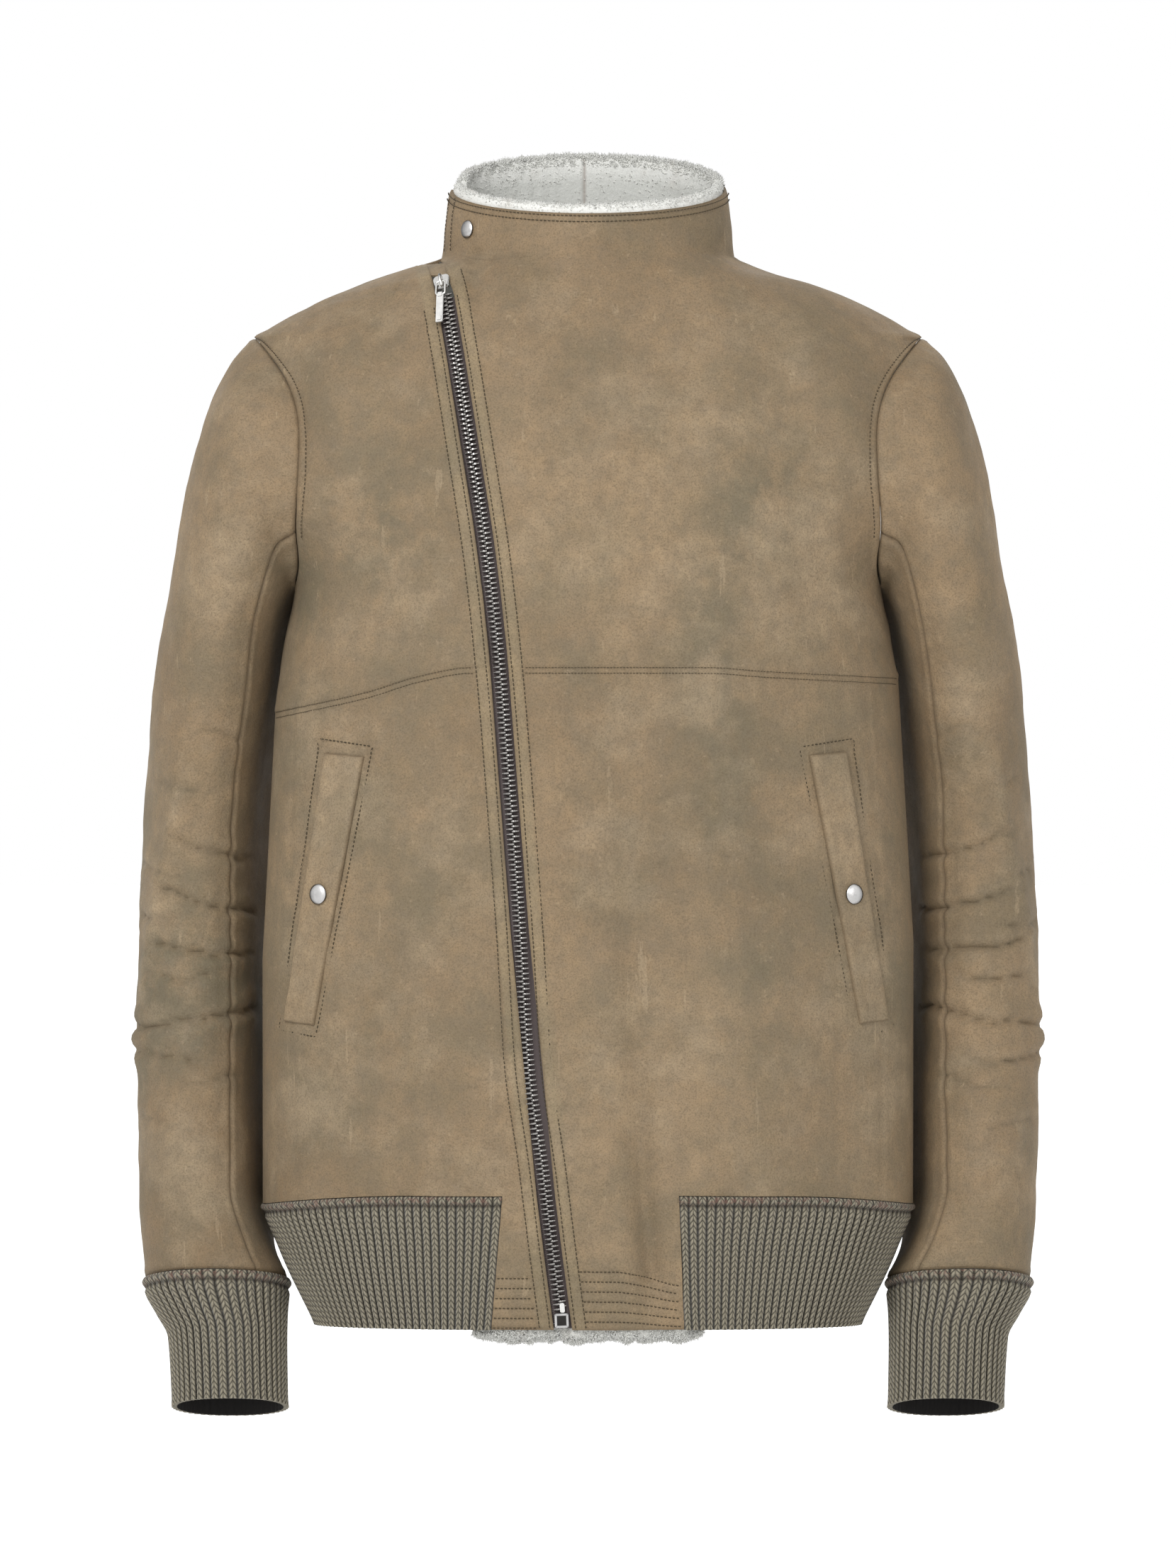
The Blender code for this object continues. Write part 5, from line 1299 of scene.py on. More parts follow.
def hem_band(side, word):
    per_rib = 5
    count = HEM_RIBS * per_rib
    parts = np.arange(count + 1) / count
    downs = np.concatenate((np.linspace(0, 0.105, 13)[:-1], np.linspace(0.105, 1, 22)))
    outer, inner, smooth = [], [], []
    for down in downs:
        level = mix(RIB_TOP, HEM, down)
        turns = shared(float(turn_at(band_x(side, level), level)), side * math.pi, level, parts)
        height = mix(band_top(turns) - RIB_SEAM, HEM, down)
        drop = down * BAND_HEIGHT
        slack = 0.0016 * math.sin(down * math.pi) * noise(body_oval(turns, height), 9, 71)
        lift = rib_shape(parts * HEM_RIBS, eased(drop, 0.003, 0.009)) + linked_ridge(drop) + RIB_LIFT
        lift = lift + 0.0005 * bump(drop - BAND_HEIGHT, 0.003) + slack
        outer.append(surface(turns, height, -lift, False))
        inner.append(surface(turns, height, 0.0016 - slack, False))
        smooth.append(surface(turns, height, 0.0, False))
    outer, inner = np.array(outer), np.array(inner)
    uvs = np.stack(np.broadcast_arrays(parts * HEM_RIBS, (downs * BAND_HEIGHT / STITCH)[:, None]), -1)
    attributes = knit_tones(downs * BAND_HEIGHT, outer.shape[:2])
    made = wall(f"{word}_hem_knit", outer, inner, [KNIT, KNIT], None, attributes, False, uvs)
    dress(made, f"hem_rib_{word}")
    round(surface_area(np.array(smooth)) / BAND_HEIGHT, 3)


for side, word in ((-1, "right"), (1, "left")):
    cuff(side, word)
    hem_band(side, word)


# wool


TUFT_RADIUS = 0.00040


def tufts(name, points, ways, lengths):
    """Tapered, bent locks of wool, joined in one piece."""
    count = len(points)
    side = unit(np.cross(ways, random.normal(size=(count, 3))))
    other = np.cross(ways, side)
    lengths = lengths[:, None]
    bent = unit(ways + 0.8 * random.normal(size=(count, 3)))
    middle = points + ways * lengths * 0.55
    tip = middle + bent * lengths * 0.5
    rings = []
    for centre, size in ((points - ways * 0.0006, 1.0), (middle, 0.75)):
        for k in range(3):
            angle = 2 * math.pi * k / 3
            rings.append(centre + TUFT_RADIUS * size * (math.cos(angle) * side + math.sin(angle) * other))
    corners = np.stack(rings + [tip], 1).reshape(-1, 3)
    faces = []
    for start in range(0, 7 * count, 7):
        for k in range(3):
            after = (k + 1) % 3
            faces.append((start + k, start + after, start + 3 + after, start + 3 + k))
            faces.append((start + 3 + k, start + 3 + after, start + 6))
    return add_mesh(name, corners, faces, [PILE])


def wool_roll(name, node, turns, feet, tops, insets, ways_in, tuft_count, lock):
    """A thick band of wool along a row of turns, with a rounded top, and locks standing out of it."""
    outline = ((0.0, 0.0), (0.0, 0.35), (0.0, 0.7), (0.0, 0.90), (0.12, 0.965), (0.33, 1.0), (0.67, 1.0),
               (0.88, 0.965), (1.0, 0.90), (1.0, 0.72), (1.0, 0.54), (1.0, 0.36), (1.0, 0.18), (1.0, 0.0))
    rows = []
    for across, up in outline:
        heights = mix(feet, tops, up)
        rows.append(surface(turns, heights, insets + WOOL * across, False))
    points = np.array(rows)
    normals = grid_normals(points)
    middle = points.mean(0, keepdims=True)
    normals = np.where(((points - middle) * normals).sum(-1, keepdims=True) < 0, -normals, normals)
    lump = 0.0007 * noise(points, 230, 81, 2) + 0.0005 * noise(points, 90, 83)
    lump[:4] = np.minimum(lump[:4], 0)
    seam = bump(np.angle(np.exp(1j * (turns - math.pi - 0.03))), 0.011)[None, :] + np.zeros(lump.shape)
    seam[:5] = 0
    lump = lump - 0.0016 * seam
    points = points + normals * lump[..., None]
    count = len(turns)
    faces = [(k * count + j, k * count + j + 1, (k + 1) * count + j + 1, (k + 1) * count + j)
             for k in range(len(outline) - 1) for j in range(count - 1)]
    last = (len(outline) - 1) * count
    faces += [(last + j, last + j + 1, j + 1, j) for j in range(count - 1)]
    faces += [tuple(k * count for k in range(len(outline))),
              tuple(k * count + count - 1 for k in reversed(range(len(outline))))]
    # The roll's inner face rows take painted shade.
    inside_shade = np.zeros(lump.shape)
    inside_shade[9:] = 1.0
    made = add_mesh(name, points.reshape(-1, 3), faces, [PILE], attributes={"seam": seam, "inside_shade": inside_shade})
    clean(made.data)
    dress(made, node)
    share = np.array([0, 0, 1.0, 3, 3, 3, 3, 2.0, 0.5, 0.2, 0.05, 0, 0])
    pick_row = random.choice(len(outline) - 1, tuft_count, p=share / share.sum())
    pick = random.integers(1, count - 2, tuft_count)
    part, rise = random.random(tuft_count)[:, None], random.random(tuft_count)[:, None]
    at = mix(mix(points[pick_row, pick], points[pick_row, pick + 1], part),
             mix(points[pick_row + 1, pick], points[pick_row + 1, pick + 1], part), rise)
    fall = normals[pick_row, pick] + np.array(ways_in) + 0.60 * random.normal(size=(tuft_count, 3))
    lengths = random.uniform(*lock, tuft_count) * np.where(pick_row > 6, 0.6, 1.0)
    dress(tufts(name + "_locks", at, unit(fall), lengths), None)


def collar_wool():
    under = LEATHER + 2 * GAP
    flap = shared(-SIDE, SIDE, NECK, np.linspace(0, 1, 150))
    start = flap[0] + 0.075
    flap = flap[flap > start]
    lap_end = float(shared(-SIDE, SIDE, NECK, [LAP_STEPS / COLLAR_COLUMNS])[0])
    feet = mix(collar_rim(flap) - LAP_DROP + 3 * GAP, 0.004, eased(flap, lap_end + 0.05, lap_end + 0.45))
    wool_roll("front_collar_wool", "collar_wool_front", flap, feet,
              collar_rim(flap) + WOOL_RISE, under + 0 * flap,
              (0, 0, 0.25), 2800, (0.0008, 0.0020))
    back = shared(SIDE, 2 * math.pi - SIDE, NECK, np.linspace(0, 1, 150))
    lapped = eased(back, 2 * math.pi - SIDE - LAP_EASE[0], 2 * math.pi - SIDE - LAP_EASE[1])
    wool_roll("back_collar_wool", "collar_wool_back", back, 0.004 + 0 * back, collar_rim(back) + WOOL_RISE,
              under + lapped * under, (0, 0, 0.15), 8500, (0.0016, 0.0036))


def hem_wool(side, word):
    """The wool that hangs below the leather in front, built as a roll that is turned upside down."""
    parts = np.linspace(0, 1, 140)
    x = mix(float(lookup(HEM, ZIP_LINE)), side * HEM_WOOL_HALF, parts)
    turns = turn_at(x, HEM)
    line = np.stack((x, 0 * x, 0 * x), -1)
    ragged = 0.0013 * noise(line, 160, 91, 2) + 0.0010 * noise(line, 520, 92)
    low = HEM - 0.62 * HEM_WOOL_DROP * (1 - parts**14) + ragged
    inset = LEATHER + TAPE_CLEAR + TAPE_THICK + 2 * GAP
    wool_roll(f"{word}_hem_wool", f"hem_wool_{word}", turns, HEM_WOOL_TOP + 0 * x, low, inset + 0 * x,
              (0, -0.15, -0.80), 4200, (0.0022, 0.0048))


collar_wool()
for side, word in ((-1, "right"), (1, "left")):
    hem_wool(side, word)

# pocket welts


def welt(side):
    top_left, top_right, low_right, low_left = (np.array(corner) for corner in WELT_CORNERS[side])
    across = stations(0.024, 0.0016)
    down = stations(0.172, 0.0030)
    upper = mix(top_left, top_right, across[:, None])
    lower = mix(low_left, low_right, across[:, None])
    grid = mix(lower[None], upper[None], down[:, None, None])
    x, heights = grid[..., 0], grid[..., 1]
    turns = turn_at(x, heights)
    base = surface(turns, heights, 0.0, False)
    away = np.min(list(edge_distances(base).values()), axis=0)
    lift = WELT_LIFT + WELT_THICK * (1 - 0.75 * np.maximum(0, 1 - away / 0.0016) ** 2)
    lift = lift + 0.0004 * noise(base, 70, 23, 2) + 0.0005 * bump(away - 0.004, 0.0025)
    normals = body_normal(turns, heights)
    outer, inner = base + normals * lift[..., None], base + normals * 0.0001
    # A painted shadow line round the welt's edge.
    attributes = tones(x.shape, olive=0.18, pale=0.45, edge=bump(away, 0.0010))
    made = wall(f"{side}_pocket_welt", outer, inner, [WELT_SUEDE, WELT_SUEDE], None, attributes)
    dress(made, f"pocket_welt_{side}")


welt("right")
welt("left")


# the zip


def strip_points(heights, across, inset):
    """Rows of points beside the zip's middle, one row for each height."""
    x = lookup(heights, ZIP_LINE)[:, None] + across[None, :]
    levels = np.broadcast_to(heights[:, None], x.shape)
    return surface(turn_at(x, levels), levels, inset, False)


def zip_tape(side, word):
    heights = np.linspace(TAPE_BOTTOM, TAPE_TOP, 230)
    across = side * np.array([0.0003, 0.0020, 0.0032, 0.0039, 0.0043, 0.0047, 0.0051, 0.0056, 0.0063, 0.0090,
                              TAPE_WIDTH])
    behind = LEATHER + TAPE_CLEAR
    cord = 0.0007 * bump(np.abs(across) - 0.0045, 0.0006)
    outer = strip_points(heights, across, behind - cord)
    inner = strip_points(heights, across, behind + TAPE_THICK)
    if side < 0:
        outer, inner = outer[:, ::-1], inner[:, ::-1]
    made = wall(f"{word}_zip_tape", outer, inner, [TAPE, TAPE])
    dress(made, f"zip_tape_{word}")


def zip_frames(heights):
    """Points on the zip's middle at heights, with the ways across, up and out."""
    points = strip_points(heights, np.zeros(1), 0.0)[:, 0]
    out = body_normal(turn_at(lookup(heights, ZIP_LINE), heights), heights)
    up = np.gradient(points, axis=0) * np.sign(np.gradient(heights))[:, None]
    up = unit(up - out * (up * out).sum(-1, keepdims=True))
    return points, np.cross(up, out), up, out


# One tooth, from its nose to its foot: across the zip, half width along it, and half thickness.
TOOTH = (
    (-0.00070, 0.00030, 0.00040),
    (-0.00040, 0.00070, 0.00080),
    (0.00050, 0.00086, 0.00105),
    (0.00160, 0.00100, 0.00132),
    (0.00250, 0.00088, 0.00115),
    (0.00290, 0.00052, 0.00078),
    (0.00390, 0.00052, 0.00072),
    (0.00420, 0.00034, 0.00050),
)


def teeth():
    low, high = CHAIN_BOTTOM + 0.0015, CHAIN_TOP - 0.0052
    fine = np.linspace(low, high, 900)
    track = strip_points(fine, np.zeros(1), 0.0)[:, 0]
    along = run_length(track)
    angles = 2 * math.pi * (np.arange(8) + 0.5) / 8
    corners, faces = [], []
    start = 0
    for side, offset in ((-1, 0.0), (1, 0.5)):
        heights = np.interp(np.arange(offset * TOOTH_PITCH, along[-1], TOOTH_PITCH), along, fine)
        points, across, up, out = zip_frames(heights)
        for k in range(len(heights)):
            for reach, half_wide, half_thick in TOOTH:
                ring = (
                    points[k]
                    + across[k] * side * reach
                    + up[k] * half_wide * power(np.cos(angles), 0.7)[:, None]
                    + out[k] * (-0.0014 + half_thick * power(np.sin(angles), 0.7))[:, None]
                )
                corners.append(ring)
            for ring in range(len(TOOTH) - 1):
                for j in range(8):
                    after = (j + 1) % 8
                    a = start + ring * 8
                    faces.append((a + j, a + after, a + 8 + after, a + 8 + j))
            last = start + 8 * (len(TOOTH) - 1)
            faces += [tuple(range(start, start + 8))[::-1], tuple(range(last, last + 8))]
            start += 8 * len(TOOTH)
    made = add_mesh("zip_teeth", np.concatenate(corners), faces, [TEETH])
    clean(made.data)
    made.data.set_sharp_from_angle(angle=math.radians(50))
    dress(made, "zip_chain")


def plate(outline, low, high, bevel):
    """A flat shape from an outline of (x, y) points, with its edges rounded."""
    made = bmesh.new()
    bottom = [made.verts.new((x, y, low)) for x, y in outline]
    top = [made.verts.new((x, y, high)) for x, y in outline]
    made.faces.new(top)
    made.faces.new(bottom[::-1])
    for k in range(len(outline)):
        after = (k + 1) % len(outline)
        made.faces.new((bottom[k], bottom[after], top[after], top[k]))
    bmesh.ops.recalc_face_normals(made, faces=made.faces)
    bmesh.ops.bevel(made, geom=made.edges, offset=bevel, segments=2, affect="EDGES")
    return made


def block(size, centre, bevel):
    x, y, z = size[0] / 2, size[1] / 2, size[2] / 2
    corners = [(-x, -y), (x, -y), (x, y), (-x, y)]
    return plate([(centre[0] + a, centre[1] + b) for a, b in corners], centre[2] - z, centre[2] + z, bevel)


def tube(points, radius, closed, steps=10):
    """A round tube along points that lie on one plane, across the Z axis or the X axis."""
    path = np.array(points, float)
    if closed:
        ahead = np.roll(path, -1, 0) - np.roll(path, 1, 0)
    else:
        ahead = np.gradient(path, axis=0)
    ahead = unit(ahead)
    flat = np.array((0.0, 0.0, 1.0)) if np.ptp(path[:, 2]) < 1e-9 else np.array((1.0, 0.0, 0.0))
    aside = np.cross(ahead, flat)
    made = bmesh.new()
    rings = []
    for k in range(len(path)):
        rings.append([made.verts.new(path[k] + radius * (math.cos(a) * aside[k] + math.sin(a) * flat))
                      for a in 2 * math.pi * np.arange(steps) / steps])
    for k in range(len(rings) if closed else len(rings) - 1):
        a, b = rings[k], rings[(k + 1) % len(rings)]
        for j in range(steps):
            made.faces.new((a[j], a[(j + 1) % steps], b[(j + 1) % steps], b[j]))
    if not closed:
        made.faces.new(rings[0])
        made.faces.new(rings[-1])
    bmesh.ops.recalc_face_normals(made, faces=made.faces)
    return made


def assembled(name, parts, place, materials):
    """One piece of several (shape, material number) parts, set at a place."""
    whole = bmesh.new()
    for part, kind in parts:
        for face in part.faces:
            face.material_index = kind
        mesh = bpy.data.meshes.new(name + "_part")
        part.to_mesh(mesh)
        part.free()
        whole.from_mesh(mesh)
        bpy.data.meshes.remove(mesh)
    mesh = bpy.data.meshes.new(name)
    whole.to_mesh(mesh)
    whole.free()
    mesh.transform(place)
    for material in materials:
        mesh.materials.append(material)
    mesh.shade_smooth()
    mesh.set_sharp_from_angle(angle=math.radians(40))
    made = bpy.data.objects.new(name, mesh)
    bpy.context.scene.collection.objects.link(made)
    return made


def placed(at, out, up_hint):
    """A place with Z out and Y as near to up_hint as can be."""
    at, out, up = Vector(at), Vector(out), Vector(up_hint)
    up = (up - out * up.dot(out)).normalized()
    return Matrix.Translation(at) @ Matrix((up.cross(out), up, out)).transposed().to_4x4()


def zip_place(height):
    x = float(lookup(height, ZIP_LINE))
    turn = float(turn_at(x, height))
    low = height - 0.02
    below = surface(turn_at(float(lookup(low, ZIP_LINE)), low), low, 0.0, False)
    at = surface(turn, height, 0.0, False)
    return placed(at, body_normal(turn, height), np.array(at) - below)


def rounded(half_x, top, bottom, radius, steps=4):
    """The outline of a rectangle with round corners, counter-clockwise."""
    outline = []
    for corner_x, corner_y, start in (
        (half_x - radius, top - radius, 0), (-half_x + radius, top - radius, 1),
        (-half_x + radius, bottom + radius, 2), (half_x - radius, bottom + radius, 3),
    ):
        for k in range(steps + 1):
            angle = (start + k / steps) * math.pi / 2
            outline.append((corner_x + radius * math.cos(angle), corner_y + radius * math.sin(angle)))
    return outline


def zip_fittings():
    place = zip_place(SLIDER_HEIGHT)
    half = ((0.0016, 0.0062), (0.0036, 0.0060), (0.0050, 0.0047), (0.0053, 0.0028), (0.0051, 0.0002),
            (0.0045, -0.0030), (0.0042, -0.0058), (0.0030, -0.0062))
    outline = [(x, y) for x, y in half] + [(-x, y) for x, y in reversed(half)]
    arch = [(0.0, y, z) for y, z in (
        (-0.0045, 0.0022), (-0.0046, 0.0036), (-0.0040, 0.0050), (-0.0026, 0.0061), (0.0, 0.0066),
        (0.0026, 0.0061), (0.0040, 0.0050), (0.0045, 0.0036), (0.0044, 0.0022),
    )]
    ridge = block((0.0016, 0.0030, 0.0010), (0.0, 0.0050, 0.0030), 0.0003)
    parts = [(plate(outline, 0.0006, 0.0028, 0.0005), 0), (tube(arch, 0.0009, False), 0), (ridge, 0)]
    slider = assembled("zip_slider_body", parts, place, [STEEL])
    dress(slider, "zip_slider")

    turned = Matrix.Rotation(PULL_HANG, 4, "Z") @ Matrix.Rotation(PULL_TILT, 4, "X")
    hinge = place @ Matrix.Translation((0.0, -HINGE_DOWN, HINGE_HEIGHT)) @ turned
    loop = [(x, y, 0.0) for x, y in rounded(LINK_HALF, 0.0, -LINK_LENGTH, 0.0013, 5)]
    tab_top, tab_bottom = -LINK_LENGTH + 0.0004, -LINK_LENGTH - TAB_LENGTH + 0.0004
    tab = plate(rounded(TAB_HALF, tab_top, tab_bottom, 0.0009), -0.00075, 0.00075, 0.0003)
    knob = plate(rounded(0.0015, tab_bottom + 0.0052, tab_bottom + 0.0014, 0.0007), 0.0006, 0.0011, 0.0002)
    clasp = plate(rounded(0.0016, tab_top + 0.0008, tab_top - 0.0028, 0.0006), -0.0010, 0.0011, 0.0003)
    parts = [(tube(loop, LINK_RADIUS, True), 0), (tab, 0), (knob, 0), (clasp, 0)]
    pull = assembled("zip_pull_tab", parts, hinge, [STEEL])
    dress(pull, "zip_pull", "zip_pull")

    foot = zip_place(HEM + BOX_UP)
    # The box's sunken middle takes the painted-shadow metal.
    frame_parts = [(block((0.0076, 0.0080, 0.0020), (0.0, 0.0, -0.0009), 0.0004), 1)]
    for x in (-0.0037, 0.0037):
        frame_parts.append((block((0.0014, 0.0092, 0.0030), (x, 0.0, -0.0005), 0.0004), 0))
    for y in (-0.0039, 0.0039):
        frame_parts.append((block((0.0088, 0.0014, 0.0030), (0.0, y, -0.0005), 0.0004), 0))
    box = assembled("zip_bottom_box", frame_parts, foot, [PEWTER, SHADOW_METAL])
    dress(box, "zip_box")
    pin = assembled("zip_pin", [(block((0.0030, 0.0062, 0.0022), (0.0014, 0.0, -0.0009), 0.0005), 0)],
                    zip_place(HEM + BOX_UP + 0.0080), [STEEL])
    dress(pin, None)


def zip_guard():
    """The turned leather that closes the front above the zip."""
    heights = np.linspace(-0.0125, -0.0040, 9)
    across = np.linspace(-0.0075, 0.0090, 9)
    outer, inner = strip_points(heights, across, 0.0007), strip_points(heights, across, 0.0019)
    attributes = tones(outer.shape[:2], olive=0.25, dark=0.25)
    made = wall("zip_guard", outer, inner, [WELT_SUEDE, WELT_SUEDE], None, attributes)
    dress(made, None)
    round(surface_area(outer) / 0.02, 4)


zip_guard()
for side, word in ((-1, "right"), (1, "left")):
    zip_tape(side, word)
teeth()
zip_fittings()


# snaps

# A snap's cap: radius and height as parts of its radius, from the middle out, and whether it is in the rim
# that takes the painted-shadow metal.
CAP = (
    (0.0001, 0.330, 0), (0.16, 0.327, 0), (0.32, 0.316, 0), (0.48, 0.294, 0), (0.62, 0.262, 0),
    (0.74, 0.222, 0),
    (0.84, 0.172, 0), (0.91, 0.120, 0), (0.95, 0.078, 0), (0.97, 0.060, 1), (1.00, 0.040, 1), (1.00, 0.0, 1),
)


def snap(name, node, x, height, radius, lift):
    steps = 40
    angles = 2 * math.pi * np.arange(steps) / steps
    points = np.concatenate([np.stack((r * radius * np.cos(angles), r * radius * np.sin(angles),
                                       0 * angles + h * radius), -1) for r, h, _ in CAP])
    faces, kinds = [tuple(range(steps))], [0]
    for k in range(len(CAP) - 1):
        for j in range(steps):
            after = (j + 1) % steps
            faces.append((k * steps + j, (k + 1) * steps + j, (k + 1) * steps + after, k * steps + after))
            kinds.append(CAP[k][2])
    last = (len(CAP) - 1) * steps
    faces.append(tuple(range(last, last + steps))[::-1])
    kinds.append(0)
    # The cap's rim faces take the painted-shadow metal.
    made = add_mesh(name, points, faces, [PEWTER, SHADOW_METAL], True, kinds)
    clean(made.data)
    turn = float(turn_at(x, height))
    place = placed(surface(turn, height, -lift, False), body_normal(turn, height), (0.0, 0.0, 1.0))
    made.data.transform(place)
    dress(made, node)


on_welt = WELT_LIFT + WELT_THICK + 0.0010
for word in ("right", "left"):
    snap(f"{word}_pocket_snap", f"snap_pocket_{word}", *SNAP_PLACES[word], SNAP_RADIUS, on_welt)
collar_turn = float(turn_at(*SNAP_PLACES["collar"]))
collar_lift = float(relief(body_oval(collar_turn, SNAP_PLACES["collar"][1])))
snap("collar_snap", "snap_collar", *SNAP_PLACES["collar"], COLLAR_SNAP_RADIUS, collar_lift + 0.0011)


# topstitching

THREAD_RADIUS = 0.00030
# Parts of the way along a stitch, how far it stands out there, and its thickness.
STITCH_RINGS = ((0.0, 0.00025, 0.55), (0.22, 0.00078, 1.0), (0.78, 0.00078, 1.0), (1.0, 0.00025, 0.55))


def stitches(name, rows, pitch, material, length=0.76, radius=THREAD_RADIUS):
    """Rows of stitches, each row as (turns, heights) along the leather's outside, joined in one piece."""
    corners = []
    for turns, heights in rows:
        fine = np.linspace(0, 1, 600)
        source = np.linspace(0, 1, len(turns))
        turns, heights = np.interp(fine, source, turns), np.interp(fine, source, heights)
        track = surface(turns, heights)
        along = run_length(track)
        starts = np.arange(0.0, along[-1] - pitch, pitch)
        rings = []
        for part, lift, size in STITCH_RINGS:
            at = starts + part * pitch * length
            turn, height = np.interp(at, along, turns), np.interp(at, along, heights)
            rings.append((surface(turn, height, -lift), body_normal(turn, height), size))
        ahead = unit(rings[-1][0] - rings[0][0])
        row = []
        for centre, out, size in rings:
            aside = np.cross(ahead, out)
            row.append(np.stack([centre + size * radius * way for way in (aside, out, -aside, -out)], 1))
        corners.append(np.stack(row, 1).reshape(-1, 3))
    points = np.concatenate(corners)
    faces = []
    for start in range(0, len(points), 16):
        for ring in range(3):
            a = start + ring * 4
            faces += [(a + j, a + (j + 1) % 4, a + 4 + (j + 1) % 4, a + 4 + j) for j in range(4)]
        faces += [(start + 3, start + 2, start + 1, start), (start + 12, start + 13, start + 14, start + 15)]
    made = add_mesh(name, points, faces, [material])
    clean(made.data)
    dress(made, None)


def by_x(x, heights):
    x, heights = np.broadcast_arrays(np.asarray(x, float), np.asarray(heights, float))
    return turn_at(x, heights), heights


def beside_armhole(side, distance):
    rows = []
    for height in np.linspace(ARMHOLE_BOTTOM + 0.030, ARMHOLE_TOP, 60):
        edge = outer_turn(height, side)
        turns = np.linspace(edge, edge - side * 0.6, 60)
        lengths = run_length(body_oval(turns, height))
        rows.append((float(np.interp(distance, lengths, turns)), height))
    return np.array(rows).T


rows = []
for side, top in ((-1, -0.034), (1, -0.0262)):
    levels = np.linspace(HEM + 0.0012, top, 200)
    rows.append(by_x(lookup(levels, ZIP_LINE) + side * (ZIP_GAP / 2 + NEAR_ROW), levels))
    levels = np.linspace(HEM + 0.0012, top + (0.018 if side > 0 else -0.002), 200)
    rows.append(by_x(lookup(levels, ZIP_LINE) + side * (ZIP_GAP / 2 + FAR_ROW), levels))
stitches("zip_stitches", rows, 0.0029, THREAD)

rows = []
for start, end in ((-0.2005, -0.0730), (-0.0400, 0.1985)):
    x = np.linspace(start, end, 200)
    for off in (-0.0018, 0.0018):
        rows.append(by_x(x, lookup(x, CHEST_SEAM) + off))
stitches("chest_stitches", rows, 0.0021, FINE_THREAD, 0.78, 0.00020)

rows = []
turns = np.linspace(-SIDE + 0.04, SIDE - 0.04, 200)
for drop in (0.0017, 0.0055):
    rows.append((turns, collar_rim(turns) - drop))
levels = np.linspace(0.004, 0.040, 60)
half_widths = lookup(levels, BODY_SECTIONS)
for inward in (0.0016, 0.0055):
    rows.append(by_x(-half_widths + inward, levels))
stitches("collar_stitches", rows, 0.0027, FINE_THREAD)

rows = [beside_armhole(side, 0.0062) for side in (-1, 1)]
stitches("armhole_stitches", rows, 0.0028, FINE_THREAD, 0.66, 0.00032)

rows = []
for corners in POCKET_FRAMES.values():
    for k in range(4):
        start, end = np.array(corners[k]), np.array(corners[(k + 1) % 4])
        points = mix(start, end, np.linspace(0.004, 0.996, 80)[:, None])
        rows.append(by_x(points[:, 0], points[:, 1]))
stitches("pocket_stitches", rows, 0.0029, THREAD, 0.66, 0.00036)

rows = []
for k in range(HEM_ROWS):
    level = HEM_ROW_TOP - HEM_ROW_STEP * k
    edge = float(lookup(level, ZIP_LINE))
    for start, end in ((band_x(-1, level) + 0.001, edge - ZIP_GAP / 2 - FAR_ROW),
                       (edge + ZIP_GAP / 2 + FAR_ROW, band_x(1, level) - 0.001)):
        x = np.linspace(start, end, 120)
        rows.append(by_x(x, hem_row_height(k, x)))
stitches("hem_stitches", rows, 0.0026, FINE_THREAD, 0.66, 0.00032)


# floor, light and camera


def ray_strength(tree, rays, ray, gain, base, target):
    """Feeds a strength that is base, and more by gain for rays of one kind."""
    strength = tree.nodes.new("ShaderNodeMath")
    strength.operation = "MULTIPLY_ADD"
    strength.inputs[1].default_value = gain
    strength.inputs[2].default_value = base
    tree.links.new(rays.outputs[ray], strength.inputs[0])
    tree.links.new(strength.outputs[0], target)


def area_light(name, place, aim, size, power_watts):
    lamp = bpy.data.lights.new(name, "AREA")
    lamp.shape = "RECTANGLE"
    lamp.size, lamp.size_y = size
    lamp.energy = power_watts
    made = bpy.data.objects.new(name, lamp)
    bpy.context.scene.collection.objects.link(made)
    made.location = place
    made.rotation_euler = (Vector(aim) - Vector(place)).to_track_quat("-Z", "Y").to_euler()


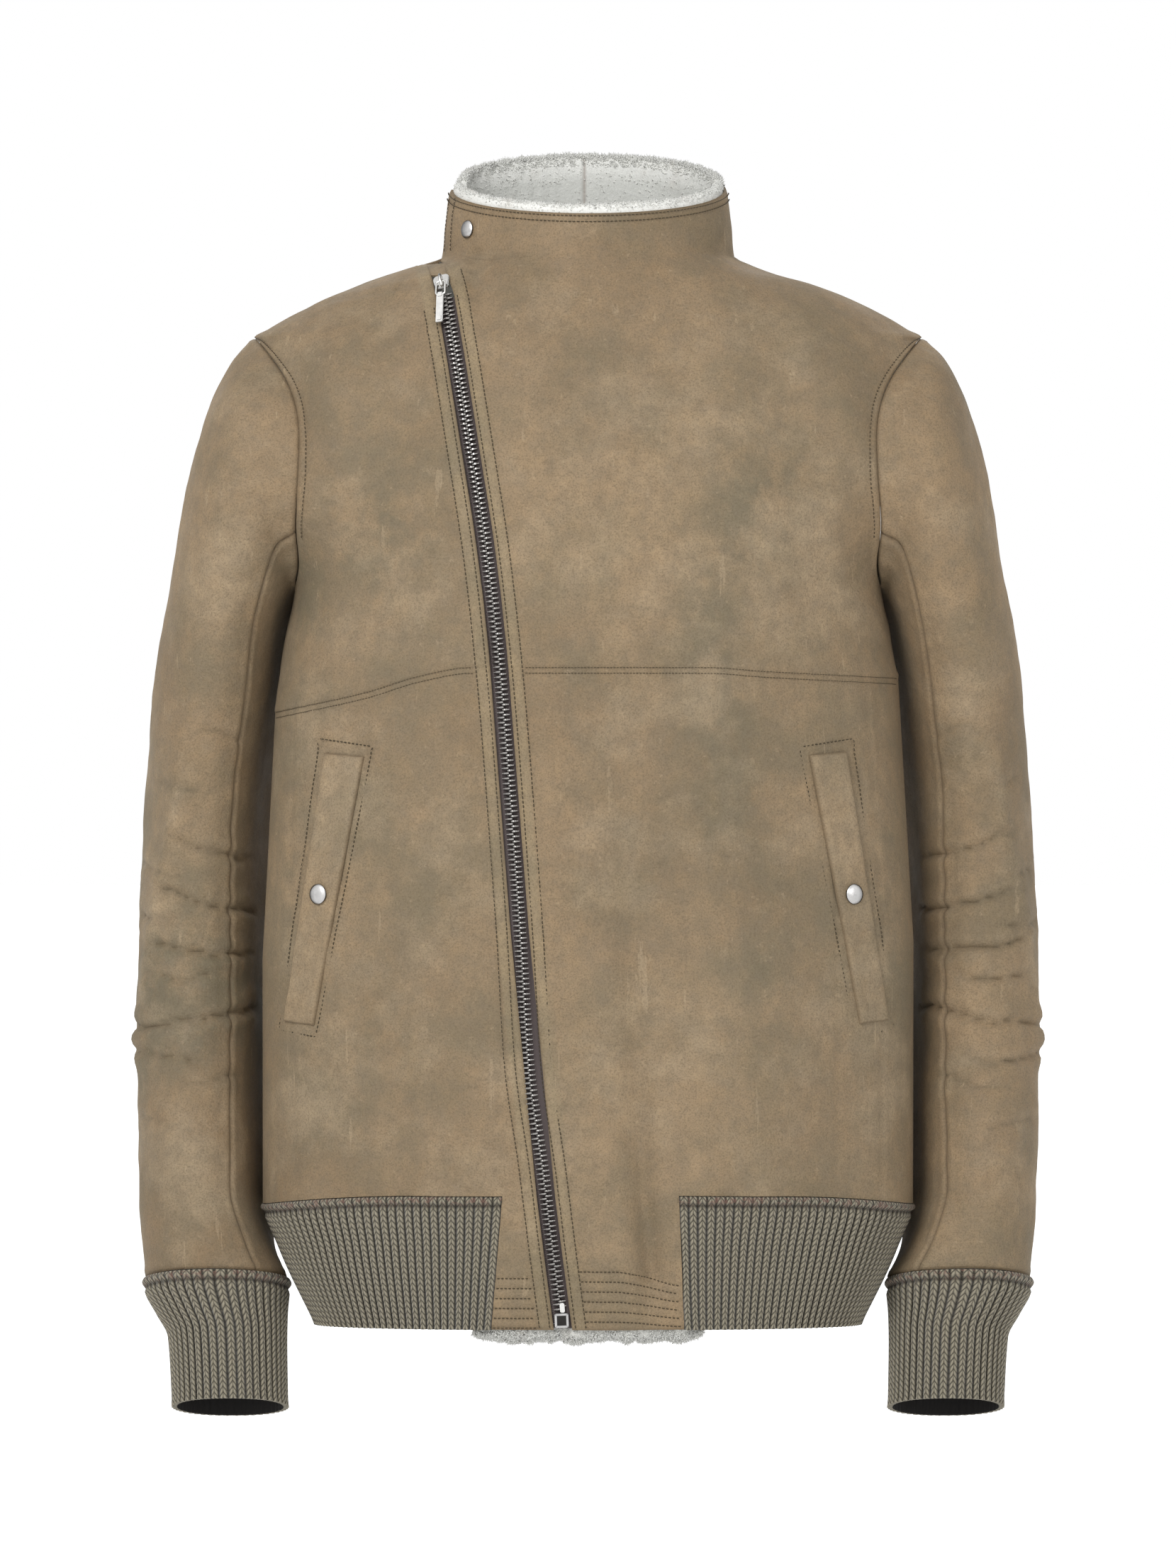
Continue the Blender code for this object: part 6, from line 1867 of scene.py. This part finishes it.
floor_material = bpy.data.materials.new("pale_floor")
floor_material.use_nodes = True
floor_shader = floor_material.node_tree.nodes["Principled BSDF"]
floor_shader.inputs["Base Color"].default_value = (0.6, 0.6, 0.6, 1.0)
floor_shader.inputs["Roughness"].default_value = 1.0
floor_shader.inputs["Specular IOR Level"].default_value = 0.0
floor_shader.inputs["Emission Color"].default_value = (1.0, 1.0, 1.0, 1.0)
floor_tree = floor_material.node_tree
floor_rays = floor_tree.nodes.new("ShaderNodeLightPath")
ray_strength(floor_tree, floor_rays, "Is Camera Ray", 0.55, 0.45, floor_shader.inputs["Emission Strength"])
FLOOR_HALF = 60.0
FLOOR_HEIGHT = -0.90
floor_corners = [(FLOOR_HALF * x, FLOOR_HALF * y, FLOOR_HEIGHT)
                 for x, y in ((-1, -1), (1, -1), (1, 1), (-1, 1))]
floor = add_mesh("floor", floor_corners, [(0, 1, 2, 3)], [floor_material], False)

scene = bpy.context.scene
scene.view_settings.view_transform = "Standard"
scene.world = scene.world or bpy.data.worlds.new("white_studio")
scene.world.use_nodes = True
world_tree = scene.world.node_tree
background = world_tree.nodes["Background"]
background.inputs["Color"].default_value = (1.0, 1.0, 1.0, 1.0)
background.inputs["Strength"].default_value = 1.0
dim = world_tree.nodes.new("ShaderNodeBackground")
dim.inputs["Color"].default_value = (1.0, 1.0, 1.0, 1.0)
rays = world_tree.nodes.new("ShaderNodeLightPath")
ray_strength(world_tree, rays, "Is Glossy Ray", 0.54, 0.46, dim.inputs["Strength"])
both = world_tree.nodes.new("ShaderNodeMixShader")
world_tree.links.new(rays.outputs["Is Camera Ray"], both.inputs[0])
world_tree.links.new(dim.outputs[0], both.inputs[1])
world_tree.links.new(background.outputs[0], both.inputs[2])
world_tree.links.new(both.outputs[0], world_tree.nodes["World Output"].inputs["Surface"])

area_light("key_light", (-1.6, -3.4, 1.9), (0.0, 0.0, -0.30), (1.6, 1.6), 84.0)
area_light("fill_light", (2.2, -3.2, 0.9), (0.0, 0.0, -0.35), (2.4, 2.4), 22.0)
area_light("back_light", (0.0, 3.2, 2.0), (0.0, 0.0, -0.30), (2.4, 1.6), 20.0)

lens = bpy.data.cameras.new("camera")
lens.sensor_fit = "AUTO"
lens.sensor_width = 36.0
lens.lens = 283.0
camera = bpy.data.objects.new("camera", lens)
scene.collection.objects.link(camera)
camera.location = (0.0, -8.0, -0.341)
camera.rotation_euler = (math.pi / 2, 0.0, 0.0)
scene.camera = camera
